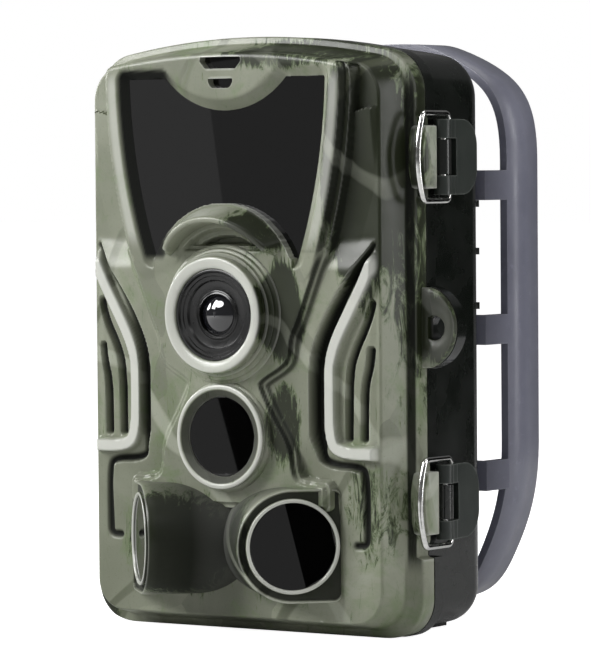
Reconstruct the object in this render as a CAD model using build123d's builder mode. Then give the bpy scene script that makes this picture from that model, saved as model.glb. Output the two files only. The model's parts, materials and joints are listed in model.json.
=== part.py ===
from build123d import *
from math import cos, radians, sin, sqrt
import os

os.makedirs("parts", exist_ok=True)

# Trail camera: a rear case on a tree bracket, and a front cover that swings open on its left side.
# Millimetres. X points right, Y back and Z up. The origin is the mouth of the tripod socket.
# Depths are measured back from the flat face of the front cover.

# Case
height = 135.0
flange_half = 43.6
crown_radius = 190.0
low_corner = 9.0
top_corner = 10.0
socket_depth = 26.55
shoulder_depth = 8.0
parting_depth = 12.55
case_flange_depth = 16.1
case_back_depth = 39.4
case_body_half = 42.4
case_body_low = 1.2
wall = 2.4
cover_draft = 15.0
shoulder_half = 41.3
shoulder_low = 1.6
shoulder_top = 133.1
lip_half = 45.2
lip_height = 18.3

# Front face
window_top = 125.4
window_top_half = 26.6
window_mid = (24.6, 105.5)
window_low = (19.3, 85.2)
window_depth, window_thickness = -2.9, 2.2
tongue_z, tongue_radius, tongue_top = 140.4, 22.4, 130.5
arch_z, arch_radius = 77.4, 20.0
hood_z, hood_root_radius, hood_rim_radius = 76.8, 20.6, 17.4
hood_rim_depth, hood_foot_depth = -11.7, -7.1
hood_foot_z, hood_crown_z, hood_crown_foot_z = 85.4, 100.0, 94.4
bevel_width, bead_width, step_width = 2.6, 5.6, 7.2
bead_depth, step_depth = -5.0, -3.0
body_depth = -4.5
lens_z, bezel_radius, bezel_bore = 72.4, 13.2, 10.3
pir_z, pir_ring_radius, pir_bore = 44.9, 11.78, 9.0
pod_x, pod_depth, pod_z = 21.2, -8.3, 21.2
pod_tilt = 45.0
pod_radius, pod_bore = 12.75, 9.8
slot_rows = ((129.0, 11.1, 2.7), (124.3, 7.0, 2.1))

# Hinge, latches and padlock
hinge_x = -45.9
hinge_radius, hinge_pin_radius = 1.95, 1.0
hinge_starts = (22.0, 89.0)
latch_heights = (30.5, 107.4)
pivot_x, pivot_depth = 46.0, 15.6
bail_pivot_depth = 17.9
lever_half, window_half = 8.4, 4.15
latch_pin_radius, wire_radius = 0.8, 0.7
bail_half = 9.7
tab_z, tab_radius, tab_x = 69.5, 9.4, 42.3
padlock_x, padlock_radius = 46.75, 2.7

# Tree bracket
ring_front_depth, ring_back_depth = 49.0, 63.6
ring_half, ring_low, ring_top, ring_wall = 42.2, 4.0, 133.8, 1.9
strut_heights = (34.5, 67.9, 100.95)
strut_height = 6.8
bar_thickness = 2.5
bracket_screw_x = 36.2

# Battery bay
cell_radius, cell_length = 7.1, 50.5
cell_columns = (-23.7, -7.9, 7.9, 23.7)
cell_depth = 27.8
tray_low, tray_height, tray_half, tray_front_depth = 11.5, 111.5, 32.5, 24.0
bay_height = 53.5
tray_wall = 1.5

# Inside the cover
cover_skin_depth = 2.2
panel_front_depth, panel_back_depth = 10.45, 12.25
board_front_depth, board_back_depth = 5.4, 7.0
post_x, post_heights = 35.0, (12.0, 66.0, 121.0)
lcd_z, lcd_width, lcd_height = 101.0, 49.0, 36.0
pad_z, pad_step = 66.5, 9.5
button_radius = 3.2
menu_x, menu_z = -25.0, 72.0
shot_x, shot_z = -25.0, 60.0
switch_x, switch_z, switch_travel = 25.0, 58.0, 3.0
recess_low, recess_high, recess_half = 9.0, 33.0, 21.0
card_x, usb_x, av_x = -9.0, 8.0, 16.0
jack_x, jack_y = 25.0, 0.0
seat_overlap = 0.05


def y_at(depth):
    """Y of a plane that lies this far behind the flat front face."""
    return depth - socket_depth


def facing_front(depth):
    """A plane across the camera at this depth; its normal points forward."""
    return Plane.XZ.offset(-y_at(depth))


def case_outline(half, low, top):
    """Outline of the case from the front: straight sides, an arched top and round corners."""
    shoulder = top - crown_radius + sqrt(crown_radius**2 - half**2)
    with BuildSketch() as outline:
        with BuildLine():
            Polyline((-half, shoulder), (-half, low), (half, low), (half, shoulder))
            ThreePointArc((half, shoulder), (0, top), (-half, shoulder))
        make_face()
        fillet(outline.vertices().group_by(Axis.Y)[0], low_corner)
        fillet(outline.vertices().group_by(Axis.Y)[-1], top_corner)
    return outline.sketch


def inset_outline(inset):
    """The flange's outline, moved in by the same amount all round."""
    return case_outline(flange_half - inset, inset, height - inset)


def lip_outline():
    """The wider foot of the flange."""
    with BuildSketch() as outline:
        with Locations((0, lip_height / 2)):
            Rectangle(2 * lip_half, lip_height)
        fillet(outline.vertices().group_by(Axis.Y)[0], low_corner)
    return outline.sketch


def window_outline(margin):
    """The infrared window: slanted sides between the tongue at the top and the lens hood."""
    with BuildSketch() as outline:
        with BuildLine():
            Line((-window_top_half, window_top), (window_top_half, window_top))
            ThreePointArc((window_top_half, window_top), window_mid, window_low)
            Line(window_low, (-window_low[0], window_low[1]))
            ThreePointArc((-window_low[0], window_low[1]), (-window_mid[0], window_mid[1]),
                          (-window_top_half, window_top))
        make_face()
        with Locations((0, tongue_z)):
            Circle(tongue_radius, mode=Mode.SUBTRACT)
        with Locations((0, arch_z)):
            Circle(arch_radius, mode=Mode.SUBTRACT)
        if margin:
            offset(amount=margin)
    return outline.sketch


def ring_outline(inset):
    """Outline of the tree bracket's ring, with long elliptical corners."""
    half, low, top = ring_half - inset, ring_low + inset, ring_top - inset
    low_reach, low_rise = 22.0 - inset, 38.0 - inset
    top_reach, top_rise = 19.5 - inset, 26.0 - inset
    top_join = top - 1.4
    with BuildSketch() as outline:
        with BuildLine():
            for side in (1, -1):
                Line((0, low), (side * (half - low_reach), low))
                Spline((side * (half - low_reach), low),
                       (side * (half - low_reach * 0.293), low + low_rise * 0.293),
                       (side * half, low + low_rise), tangents=((side, 0), (0, 1)))
                Line((side * half, low + low_rise), (side * half, top_join - top_rise))
                Spline((side * half, top_join - top_rise),
                       (side * (half - top_reach * 0.293), top_join - top_rise * 0.293),
                       (side * (half - top_reach), top_join), (0, top),
                       tangents=((0, 1), (-side, 0)))
        make_face()
    return outline.sketch


def pod_plane(side):
    """The tilted face of a side sensor pod; its normal points forward and outward."""
    lean, reach = sin(radians(pod_tilt)), cos(radians(pod_tilt))
    return Plane(origin=(side * pod_x, y_at(pod_depth), pod_z),
                 x_dir=(reach, side * lean, 0), z_dir=(side * lean, -reach, 0))


# ---------------------------------------------------------------- rear case
with BuildPart() as rear_case:
    with BuildSketch(facing_front(parting_depth)):
        add(case_outline(case_body_half, case_body_low, height - case_body_low))
    extrude(amount=parting_depth - case_back_depth)
    fillet(rear_case.faces().sort_by(Axis.Y)[-1].edges(), 6.0)
    with BuildSketch(facing_front(parting_depth)):
        add(inset_outline(0))
        add(lip_outline())
        with Locations((tab_x, tab_z)):
            Circle(tab_radius)
    extrude(amount=parting_depth - case_flange_depth)
    # pad under the case, level with the flange
    with Locations((0, y_at(27.0), 2.0)):
        Box(64.0, 22.0, 4.0)
    # battery bay
    with BuildSketch(facing_front(parting_depth)):
        add(case_outline(flange_half - 3.8, 3.8, height - 3.8))
    extrude(amount=parting_depth - case_back_depth + wall, mode=Mode.SUBTRACT)
    # bosses for the bracket screws, the tripod insert and the supply socket
    for boss_height in (strut_heights[0], strut_heights[-1]):
        with BuildSketch(facing_front(case_back_depth - wall + seat_overlap)):
            with Locations((bracket_screw_x, boss_height), (-bracket_screw_x, boss_height)):
                Circle(3.0)
        extrude(amount=6.0)
        with BuildSketch(facing_front(case_back_depth)):
            with Locations((bracket_screw_x, boss_height), (-bracket_screw_x, boss_height)):
                Circle(1.25)
        extrude(amount=7.5, mode=Mode.SUBTRACT)
    with BuildSketch(Plane.XY):
        Circle(7.0)
    extrude(amount=11.0)
    with BuildSketch(Plane.XY):
        Circle(4.6)
    extrude(amount=10.0, mode=Mode.SUBTRACT)
    with BuildSketch(Plane.XY):
        with Locations((jack_x, jack_y)):
            Circle(4.8)
    extrude(amount=4.5, mode=Mode.SUBTRACT)
    # seal groove round the mouth
    with BuildSketch(facing_front(parting_depth)):
        add(inset_outline(1.0))
        add(inset_outline(2.6), mode=Mode.SUBTRACT)
    extrude(amount=-1.1, mode=Mode.SUBTRACT)
    # latch knuckles
    for latch_z in latch_heights:
        with BuildSketch(Plane.XY.offset(latch_z - window_half + 0.3)):
            with Locations((pivot_x, y_at(pivot_depth))):
                Circle(1.9)
            with Locations((pivot_x - 2.0, y_at(pivot_depth))):
                Rectangle(4.0, 3.8)
        extrude(amount=2 * window_half - 0.6)
        with Locations((pivot_x, y_at(pivot_depth), latch_z)):
            Cylinder(latch_pin_radius + 0.02, 12.0, mode=Mode.SUBTRACT)
    # hinge knuckles
    for start in hinge_starts:
        for low in (start, start + 16.2):
            with BuildSketch(Plane.XY.offset(low)):
                with Locations((hinge_x, y_at(parting_depth))):
                    Circle(hinge_radius)
                with Locations((hinge_x + 1.6, y_at(parting_depth) + 1.0)):
                    Rectangle(3.2, 1.9)
            extrude(amount=7.8)
        with Locations((hinge_x, y_at(parting_depth), start + 12.0)):
            Cylinder(hinge_pin_radius + 0.02, 26.0, mode=Mode.SUBTRACT)
    # padlock hole
    with BuildSketch(facing_front(parting_depth)):
        with Locations((padlock_x, tab_z)):
            Circle(padlock_radius)
    extrude(amount=-5.0, mode=Mode.SUBTRACT)
    # grip ribs on the rounded rear corners
    for side in (1, -1):
        for rib_z in (73.6, 86.0, 96.8):
            with Locations(Location((side * 40.6, y_at(36.3), rib_z), (0, 0, side * 34.0))):
                Box(3.2, 3.2, 1.5)
rear_case.part.label = "rear_case"
export_step(rear_case.part, "parts/rear_case.step")

with BuildPart() as case_gasket:
    with BuildSketch(facing_front(parting_depth + 1.05)):
        add(inset_outline(1.05))
        add(inset_outline(2.55), mode=Mode.SUBTRACT)
    extrude(amount=1.0)
case_gasket.part.label = "case_gasket"
export_step(case_gasket.part, "parts/case_gasket.step")

with BuildPart() as tripod_insert:
    with BuildSketch(Plane.XY):
        Circle(4.55)
        Circle(2.6, mode=Mode.SUBTRACT)
    extrude(amount=9.9)
tripod_insert.part.label = "tripod_insert"
export_step(tripod_insert.part, "parts/tripod_insert.step")

# ---------------------------------------------------------------- tree bracket
with BuildPart() as tree_bracket:
    with BuildSketch(facing_front(ring_back_depth)):
        add(ring_outline(0))
    extrude(amount=ring_back_depth - ring_front_depth)
    fillet(tree_bracket.faces().sort_by(Axis.Y)[-1].edges(), 1.4)
    with BuildSketch(facing_front(ring_back_depth)):
        add(ring_outline(ring_wall))
    extrude(amount=ring_back_depth - ring_front_depth, mode=Mode.SUBTRACT)
    for bar_z in strut_heights:
        with Locations((0, y_at(case_back_depth + bar_thickness / 2), bar_z)):
            Box(2 * ring_half, bar_thickness, strut_height)
        with GridLocations(2 * (ring_half - 1.2), 0, 2, 1):
            with Locations((0, y_at((case_back_depth + ring_front_depth) / 2 + 0.3), bar_z)):
                Box(2.4, ring_front_depth - case_back_depth + 0.6, strut_height)
    for boss_height in (strut_heights[0], strut_heights[-1]):
        with BuildSketch(facing_front(case_back_depth)):
            with Locations((bracket_screw_x, boss_height), (-bracket_screw_x, boss_height)):
                Circle(1.6)
        extrude(amount=-bar_thickness, mode=Mode.SUBTRACT)
tree_bracket.part.label = "tree_bracket"
export_step(tree_bracket.part, "parts/tree_bracket.step")

with BuildPart() as bracket_screws:
    for boss_height in (strut_heights[0], strut_heights[-1]):
        for side in (1, -1):
            with BuildSketch(facing_front(case_back_depth + bar_thickness)):
                with Locations((side * bracket_screw_x, boss_height)):
                    Circle(2.7)
            extrude(amount=-1.7)
            with BuildSketch(facing_front(case_back_depth + bar_thickness)):
                with Locations((side * bracket_screw_x, boss_height)):
                    Circle(1.2)
            extrude(amount=9.5)
bracket_screws.part.label = "bracket_screws"
export_step(bracket_screws.part, "parts/bracket_screws.step")

# ---------------------------------------------------------------- battery bay
with BuildPart() as battery_tray:
    tray_depth = case_back_depth - wall - tray_front_depth
    with Locations((0, y_at(tray_front_depth + tray_depth / 2), tray_low + tray_height / 2)):
        Box(2 * tray_half, tray_depth, tray_height)
    for tier in (0, 1):
        bay_low = tray_low + tray_wall + tier * (bay_height + tray_wall)
        with BuildSketch(Plane.XY.offset(bay_low)):
            with Locations(*[(x, y_at(cell_depth)) for x in cell_columns]):
                Circle(cell_radius + 0.3)
        extrude(amount=bay_height, mode=Mode.SUBTRACT)
battery_tray.part.label = "battery_tray"
export_step(battery_tray.part, "parts/battery_tray.step")

with BuildPart() as aa_cells:
    for tier in (0, 1):
        bay_low = tray_low + tray_wall + tier * (bay_height + tray_wall)
        for column, x in enumerate(cell_columns):
            flipped = (column + tier) % 2
            foot = bay_low + (0.6 if flipped else 2.4)
            nose = foot if flipped else foot + cell_length - 1.2
            with BuildSketch(Plane.XY.offset(foot + (1.2 if flipped else 0))):
                with Locations((x, y_at(cell_depth))):
                    Circle(cell_radius)
            extrude(amount=cell_length - 1.2)
            with BuildSketch(Plane.XY.offset(nose)):
                with Locations((x, y_at(cell_depth))):
                    Circle(2.75)
            extrude(amount=1.2)
aa_cells.part.label = "aa_cells"
export_step(aa_cells.part, "parts/aa_cells.step")

with BuildPart() as battery_contacts:
    for tier in (0, 1):
        bay_low = tray_low + tray_wall + tier * (bay_height + tray_wall)
        for x in cell_columns:
            with Locations((x, y_at(cell_depth), bay_low + 0.25),
                           (x, y_at(cell_depth), bay_low + bay_height - 0.25)):
                Box(9.0, 8.0, 0.4)
battery_contacts.part.label = "battery_contacts"
export_step(battery_contacts.part, "parts/battery_contacts.step")

spring_wire, spring_radius, spring_height = 0.3, 3.0, 1.2
with BuildPart() as one_spring:
    with BuildLine():
        coil = Helix(pitch=0.7, height=spring_height, radius=spring_radius)
    with BuildSketch(Plane(origin=coil @ 0, z_dir=coil % 0)):
        Circle(spring_wire)
    sweep()
spring_copies = []
for tier in (0, 1):
    bay_low = tray_low + tray_wall + tier * (bay_height + tray_wall)
    for column, x in enumerate(cell_columns):
        flipped = (column + tier) % 2
        spring_low = bay_low + (bay_height - 1.95 if flipped else 0.8)
        spring_copies.append(Pos(x, y_at(cell_depth), spring_low) * one_spring.part)
with BuildPart() as battery_springs:
    add(spring_copies)
battery_springs.part.label = "battery_springs"
export_step(battery_springs.part, "parts/battery_springs.step")

# ---------------------------------------------------------------- external supply socket
with BuildPart() as dc_jack:
    with Locations((jack_x, jack_y, 7.6)):
        Box(11.0, 11.0, 7.4)
    with BuildSketch(Plane.XY.offset(3.9)):
        with Locations((jack_x, jack_y)):
            Circle(2.75)
            Circle(1.0, mode=Mode.SUBTRACT)
    extrude(amount=6.4, mode=Mode.SUBTRACT)
dc_jack.part.label = "dc_jack"
export_step(dc_jack.part, "parts/dc_jack.step")

with BuildPart() as dc_jack_plug:
    with BuildSketch(Plane.XY.offset(0.4)):
        with Locations((jack_x, jack_y)):
            Circle(4.5)
    extrude(amount=3.2)
    with BuildSketch(Plane.XY.offset(3.6)):
        with Locations((jack_x, jack_y)):
            Circle(2.45)
    extrude(amount=4.4)
    with BuildSketch(Plane.XY.offset(3.0)):
        with Locations((jack_x, jack_y)):
            Circle(1.3)
    extrude(amount=6.0, mode=Mode.SUBTRACT)
dc_jack_plug.part.label = "dc_jack_plug"
export_step(dc_jack_plug.part, "parts/dc_jack_plug.step")

# ---------------------------------------------------------------- front cover
hood_root_depth = body_depth + 2
with BuildPart() as hood_form:
    with BuildSketch(Plane.YZ) as hood_section:
        with BuildLine():
            Polyline((y_at(hood_root_depth), hood_z + hood_root_radius),
                     (y_at(body_depth), hood_z + hood_root_radius),
                     (y_at(hood_rim_depth), hood_z + hood_rim_radius),
                     (y_at(hood_rim_depth), hood_z + hood_rim_radius - 1.0),
                     (y_at(hood_root_depth), hood_z + hood_rim_radius - 1.6), close=True)
        make_face()
    revolve(axis=Axis((0, 0, hood_z), (0, 1, 0)), revolution_arc=360)
    # the rim falls back towards both ends, and nothing is left below them
    with BuildSketch(Plane.YZ) as hood_keep:
        with BuildLine():
            Polyline((y_at(hood_rim_depth), hood_crown_foot_z), (y_at(hood_foot_depth), hood_foot_z),
                     (y_at(0), hood_foot_z), (y_at(0), hood_crown_z),
                     (y_at(hood_rim_depth), hood_crown_z), close=True)
        make_face()
    extrude(amount=40.0, both=True, mode=Mode.INTERSECT)

# lines on the right half of the face, as (x, z): the side ridge, the channel beside it, the two grip
# slots and the edge of the raised body; the left half mirrors them
relief_ridge = ((37.6, 85.6), (34.6, 80.2), (31.2, 73.9), (28.2, 67.5), (27.2, 62.0), (27.2, 43.0))
relief_channel = ((22.6, 58.0), (22.5, 43.0), (25.0, 38.0), (33.4, 37.4), (34.8, 36.4),
                  (34.8, 23.6), (32.4, 21.4))
grip_slots = (((37.2, 75.0), (32.8, 69.0), (31.1, 64.0), (31.1, 45.0)),
              ((37.0, 64.7), (35.2, 61.0), (34.9, 57.0), (35.3, 45.0)))
body_edge = ((26.3, 86.6), (23.8, 81.0), (20.0, 71.4), (17.8, 67.4), (17.5, 62.9), (15.6, 60.9),
             (9.6, 57.6), (9.6, 56.0), (12.9, 49.4), (17.2, 42.8), (17.7, 37.0), (19.4, 33.0))


def mirrored(points):
    """The same points on the other side of the middle."""
    return [(-x, z) for x, z in points]


with BuildPart() as front_cover:
    # flange, drafted body and plateau
    with BuildSketch(facing_front(parting_depth)):
        add(inset_outline(0))
        add(lip_outline())
    extrude(amount=parting_depth - shoulder_depth)
    with BuildSketch(facing_front(shoulder_depth + 1)):
        add(case_outline(shoulder_half, shoulder_low, shoulder_top))
    extrude(amount=1)
    with BuildSketch(facing_front(shoulder_depth)):
        add(case_outline(shoulder_half, shoulder_low, shoulder_top))
    extrude(amount=shoulder_depth, taper=cover_draft)
    # window frame: a low step, then the bead and the tongue
    with BuildSketch(facing_front(1.0)):
        add(window_outline(step_width))
    extrude(amount=1.0 - step_depth)
    with BuildSketch(facing_front(1.0)):
        add(window_outline(bead_width))
        with Locations((0, tongue_z)):
            Circle(tongue_radius)
        with Locations((0, tongue_top)):
            Rectangle(2 * flange_half, 2 * tongue_radius, align=(Align.CENTER, Align.MIN), mode=Mode.SUBTRACT)
    extrude(amount=1.0 - bead_depth)
    # bevel from the bead down to the window
    with BuildSketch(facing_front(window_depth)):
        add(window_outline(bevel_width))
    extrude(amount=4.0, mode=Mode.SUBTRACT)
    # raised body round the lens and the middle sensor
    with BuildSketch(facing_front(1.0)):
        with BuildLine():
            Polyline(*body_edge, *reversed(mirrored(body_edge)), close=True)
        make_face()
        with Locations((0, lens_z)):
            Circle(15.6)
    extrude(amount=1.0 - body_depth)
    with BuildSketch(facing_front(0)):
        with Locations((0, lens_z)):
            Circle(14.6)
    extrude(amount=5.7)
    with BuildSketch(facing_front(0)):
        with Locations((0, pir_z)):
            Circle(12.6)
    extrude(amount=4.95)
    add(hood_form.part)
    # side ridges, channels and grip slots
    for points in (relief_ridge, mirrored(relief_ridge)):
        with BuildSketch(facing_front(0.5)):
            with BuildLine():
                Polyline(*points)
            trace(line_width=2.2)
        extrude(amount=2.6)
    for points in (relief_channel, mirrored(relief_channel)):
        with BuildSketch(facing_front(0.6)):
            with BuildLine():
                Polyline(*points)
            trace(line_width=1.8)
        extrude(amount=3.0, mode=Mode.SUBTRACT)
    for slot in grip_slots:
        for points in (slot, mirrored(slot)):
            with BuildSketch(facing_front(1.2)):
                with BuildLine():
                    Polyline(*points)
                trace(line_width=2.2)
            extrude(amount=3.0, mode=Mode.SUBTRACT)
    # side sensor pods: a round barrel, square on its outer side
    for side in (1, -1):
        with BuildSketch(pod_plane(side)):
            Circle(pod_radius)
            with Locations((side * 6.1, 0)):
                Rectangle(12.2, 2 * pod_radius)
        extrude(amount=-20.0)
    with Locations((0, y_at(parting_depth + 5.0), pod_z)):
        Box(70.0, 10.0, 40.0, mode=Mode.SUBTRACT)
    # the hollow behind the face
    with BuildSketch(facing_front(parting_depth)):
        add(inset_outline(3.6))
    extrude(amount=parting_depth - cover_skin_depth, taper=14, mode=Mode.SUBTRACT)
    # screw posts for the inner panel
    with BuildSketch(facing_front(panel_front_depth - 0.1)):
        for side in (1, -1):
            with Locations(*[(side * post_x, z) for z in post_heights]):
                Circle(2.9)
    extrude(amount=panel_front_depth - cover_skin_depth)
    with BuildSketch(facing_front(panel_front_depth)):
        for side in (1, -1):
            with Locations(*[(side * post_x, z) for z in post_heights]):
                Circle(1.0)
    extrude(amount=7.0, mode=Mode.SUBTRACT)
    # openings for the window, the lens, the sensors and the two slots in the tongue
    with BuildSketch(facing_front(4.0)):
        add(window_outline(0))
        with Locations((0, lens_z)):
            Circle(6.9)
        with Locations((0, pir_z)):
            Circle(pir_bore)
        for row_z, row_width, row_height in slot_rows:
            with Locations((0, row_z)):
                SlotOverall(row_width, row_height)
    extrude(amount=12.0, mode=Mode.SUBTRACT)
    with Locations((0, y_at(-0.4), 126.4)):
        Box(14.4, 5.2, 8.8, mode=Mode.SUBTRACT)
    for side in (1, -1):
        with BuildSketch(pod_plane(side)):
            Circle(pod_bore)
        extrude(amount=-16.0, mode=Mode.SUBTRACT)
    # latch catches, each behind a notch for the bail
    for latch_z in latch_heights:
        with Locations((42.8, y_at(8.5), latch_z)):
            Box(3.2, 1.4, 17.0, mode=Mode.SUBTRACT)
        with BuildSketch(Plane.YZ.offset(flange_half - 0.6)):
            with BuildLine():
                Polyline((y_at(8.2), latch_z - 7.0), (y_at(parting_depth), latch_z - 7.0),
                         (y_at(parting_depth), latch_z + 7.0), (y_at(8.2), latch_z + 7.0))
                ThreePointArc((y_at(8.2), latch_z + 7.0), (y_at(6.45), latch_z),
                              (y_at(8.2), latch_z - 7.0))
            make_face()
        extrude(amount=3.6)
    # padlock tab
    with BuildSketch(facing_front(parting_depth)):
        with Locations((tab_x, tab_z)):
            Circle(tab_radius)
        with Locations((tab_x - 6.0, tab_z)):
            Rectangle(9.0, 24.0, mode=Mode.SUBTRACT)
    extrude(amount=2.3)
    with BuildSketch(facing_front(parting_depth)):
        with Locations((padlock_x, tab_z)):
            Circle(padlock_radius)
    extrude(amount=5.0, mode=Mode.SUBTRACT)
    # hinge knuckles
    for start in hinge_starts:
        with BuildSketch(Plane.XY.offset(start + 8.2)):
            with Locations((hinge_x, y_at(parting_depth))):
                Circle(hinge_radius)
            with Locations((hinge_x + 1.6, y_at(parting_depth) - 1.0)):
                Rectangle(3.2, 1.9)
        extrude(amount=7.6)
        with Locations((hinge_x, y_at(parting_depth), start + 12.0)):
            Cylinder(hinge_pin_radius + 0.06, 26.0, mode=Mode.SUBTRACT)
front_cover.part.label = "front_cover"
export_step(front_cover.part, "parts/front_cover.step")

with BuildPart() as hinge_pins:
    with Locations(*[(hinge_x, y_at(parting_depth), start + 12.0) for start in hinge_starts]):
        Cylinder(hinge_pin_radius, 24.0)
hinge_pins.part.label = "hinge_pins"
export_step(hinge_pins.part, "parts/hinge_pins.step")

# ---------------------------------------------------------------- infrared lamp
with BuildPart() as ir_window:
    with BuildSketch(facing_front(window_depth + window_thickness)):
        add(window_outline(-0.1))
    extrude(amount=window_thickness)
ir_window.part.label = "ir_window"
export_step(ir_window.part, "parts/ir_window.step")

with BuildPart() as ir_led_board:
    with BuildSketch(facing_front(4.0)):
        add(window_outline(-1.5))
    extrude(amount=1.6)
ir_led_board.part.label = "ir_led_board"
export_step(ir_led_board.part, "parts/ir_led_board.step")

led_rows = ((118.0, (15.0, 21.0)), (111.5, (3.2, 9.6, 16.0, 22.0)),
            (105.0, (3.2, 9.6, 16.0, 20.6)), (98.6, (13.5, 19.2)))
led_places = [(side * x, z) for side in (1, -1) for z, row in led_rows for x in row]
with BuildPart() as ir_leds:
    with BuildSketch(facing_front(2.35)):
        with Locations(*led_places):
            Circle(1.5)
    extrude(amount=1.5)
    with Locations(*[(x, y_at(0.85), z) for x, z in led_places]):
        Sphere(1.5)
ir_leds.part.label = "ir_leds"
export_step(ir_leds.part, "parts/ir_leds.step")

# ---------------------------------------------------------------- camera
with BuildPart() as lens_bezel:
    with BuildSketch(Plane.YZ):
        with BuildLine():
            Polyline((y_at(-5.75), lens_z + bezel_bore), (y_at(-5.75), lens_z + bezel_radius - 0.6),
                     (y_at(-7.6), lens_z + bezel_radius), (y_at(-9.0), lens_z + bezel_radius - 0.2),
                     (y_at(-9.26), lens_z + bezel_radius - 0.8),
                     (y_at(-8.7), lens_z + bezel_bore), close=True)
        make_face()
    revolve(axis=Axis((0, 0, lens_z), (0, 1, 0)))
lens_bezel.part.label = "lens_bezel"
export_step(lens_bezel.part, "parts/lens_bezel.step")

with BuildPart() as lens_baffle:
    with BuildSketch(Plane.YZ):
        with BuildLine():
            Polyline((y_at(-5.75), lens_z + 4.7), (y_at(-5.75), lens_z + 10.25),
                     (y_at(-8.4), lens_z + 10.25), (y_at(-8.4), lens_z + 9.6),
                     (y_at(-7.8), lens_z + 9.2), (y_at(-7.8), lens_z + 7.6),
                     (y_at(-7.3), lens_z + 7.3), (y_at(-6.9), lens_z + 5.4),
                     (y_at(-7.2), lens_z + 5.2), (y_at(-7.2), lens_z + 4.7), close=True)
        make_face()
    revolve(axis=Axis((0, 0, lens_z), (0, 1, 0)))
lens_baffle.part.label = "lens_baffle"
export_step(lens_baffle.part, "parts/lens_baffle.step")

with BuildPart() as lens_barrel:
    with BuildSketch(facing_front(4.0)):
        with Locations((0, lens_z)):
            Circle(6.6)
    extrude(amount=9.7)
    with BuildSketch(facing_front(-5.7)):
        with Locations((0, lens_z)):
            Circle(4.6)
    extrude(amount=0.4)
lens_barrel.part.label = "lens_barrel"
export_step(lens_barrel.part, "parts/lens_barrel.step")

with BuildPart() as lens_front_element:
    with Locations((0, y_at(-8.0) + 6.4, lens_z)):
        Sphere(6.4)
    with BuildSketch(facing_front(-6.15)):
        with Locations((0, lens_z)):
            Circle(4.5)
    extrude(amount=3.0, mode=Mode.INTERSECT)
lens_front_element.part.label = "lens_front_element"
export_step(lens_front_element.part, "parts/lens_front_element.step")

with BuildPart() as image_sensor:
    with Locations((0, y_at(4.7), lens_z)):
        Box(14.0, 1.3, 14.0)
image_sensor.part.label = "image_sensor"
export_step(image_sensor.part, "parts/image_sensor.step")

# ---------------------------------------------------------------- motion sensors
with BuildPart() as pir_bezel_centre:
    with BuildSketch(Plane.YZ):
        with BuildLine():
            Polyline((y_at(-5.0), pir_z + pir_bore), (y_at(-5.0), pir_z + pir_ring_radius - 0.4),
                     (y_at(-6.2), pir_z + pir_ring_radius), (y_at(-6.66), pir_z + pir_ring_radius - 0.7),
                     (y_at(-6.0), pir_z + pir_bore), close=True)
        make_face()
    revolve(axis=Axis((0, 0, pir_z), (0, 1, 0)))
pir_bezel_centre.part.label = "pir_bezel_centre"
export_step(pir_bezel_centre.part, "parts/pir_bezel_centre.step")

with BuildPart() as pir_lens_centre:
    with BuildSketch(facing_front(-3.9)):
        with Locations((0, pir_z)):
            Circle(pir_bore - 0.1)
    extrude(amount=1.4)
pir_lens_centre.part.label = "pir_lens_centre"
export_step(pir_lens_centre.part, "parts/pir_lens_centre.step")

for side, name in ((1, "right"), (-1, "left")):
    with BuildPart() as pir_bezel_side:
        with BuildSketch(pod_plane(side).offset(0.02)):
            Circle(pod_bore + 0.9)
            Circle(pod_bore - 0.1, mode=Mode.SUBTRACT)
        extrude(amount=0.7)
        fillet(pir_bezel_side.edges().group_by(SortBy.LENGTH)[-1][0], 0.3)
    pir_bezel_side.part.label = f"pir_bezel_{name}"
    export_step(pir_bezel_side.part, f"parts/pir_bezel_{name}.step")

    with BuildPart() as pir_lens_side:
        with BuildSketch(pod_plane(side).offset(-1.6)):
            Circle(pod_bore - 0.1)
        extrude(amount=1.4)
    pir_lens_side.part.label = f"pir_lens_{name}"
    export_step(pir_lens_side.part, f"parts/pir_lens_{name}.step")

with BuildPart() as pir_side_boards:
    for side in (1, -1):
        with BuildSketch(pod_plane(side).offset(-11.0)):
            Circle(6.5)
        extrude(amount=1.2)
pir_side_boards.part.label = "pir_side_boards"
export_step(pir_side_boards.part, "parts/pir_side_boards.step")

with BuildPart() as pir_sensors:
    with BuildSketch(facing_front(board_front_depth - seat_overlap)):
        with Locations((0, pir_z)):
            Circle(4.1)
    extrude(amount=4.2)
    for side in (1, -1):
        with BuildSketch(pod_plane(side).offset(-9.75)):
            Circle(4.1)
        extrude(amount=4.2)
pir_sensors.part.label = "pir_sensors"
export_step(pir_sensors.part, "parts/pir_sensors.step")

# ---------------------------------------------------------------- behind the tongue's slots
with BuildPart() as slot_window:
    with Locations((0, y_at(-2.2), 126.4)):
        Box(14.0, 1.4, 8.4)
slot_window.part.label = "slot_window"
export_step(slot_window.part, "parts/slot_window.step")

with BuildPart() as light_sensor:
    with Locations((0, y_at(-0.6), 128.6)):
        Box(4.0, 1.6, 2.4)
light_sensor.part.label = "light_sensor"
export_step(light_sensor.part, "parts/light_sensor.step")

with BuildPart() as microphone:
    with BuildSketch(facing_front(0.9)):
        with Locations((0, 124.4)):
            Circle(1.7)
    extrude(amount=2.3)
microphone.part.label = "microphone"
export_step(microphone.part, "parts/microphone.step")

# ---------------------------------------------------------------- main board and what it carries
with BuildPart() as main_board:
    with BuildSketch(facing_front(board_back_depth)):
        with Locations((0, 65.0)):
            RectangleRounded(62.0, 114.0, 2.0)
    extrude(amount=board_back_depth - board_front_depth)
main_board.part.label = "main_board"
export_step(main_board.part, "parts/main_board.step")

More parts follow.
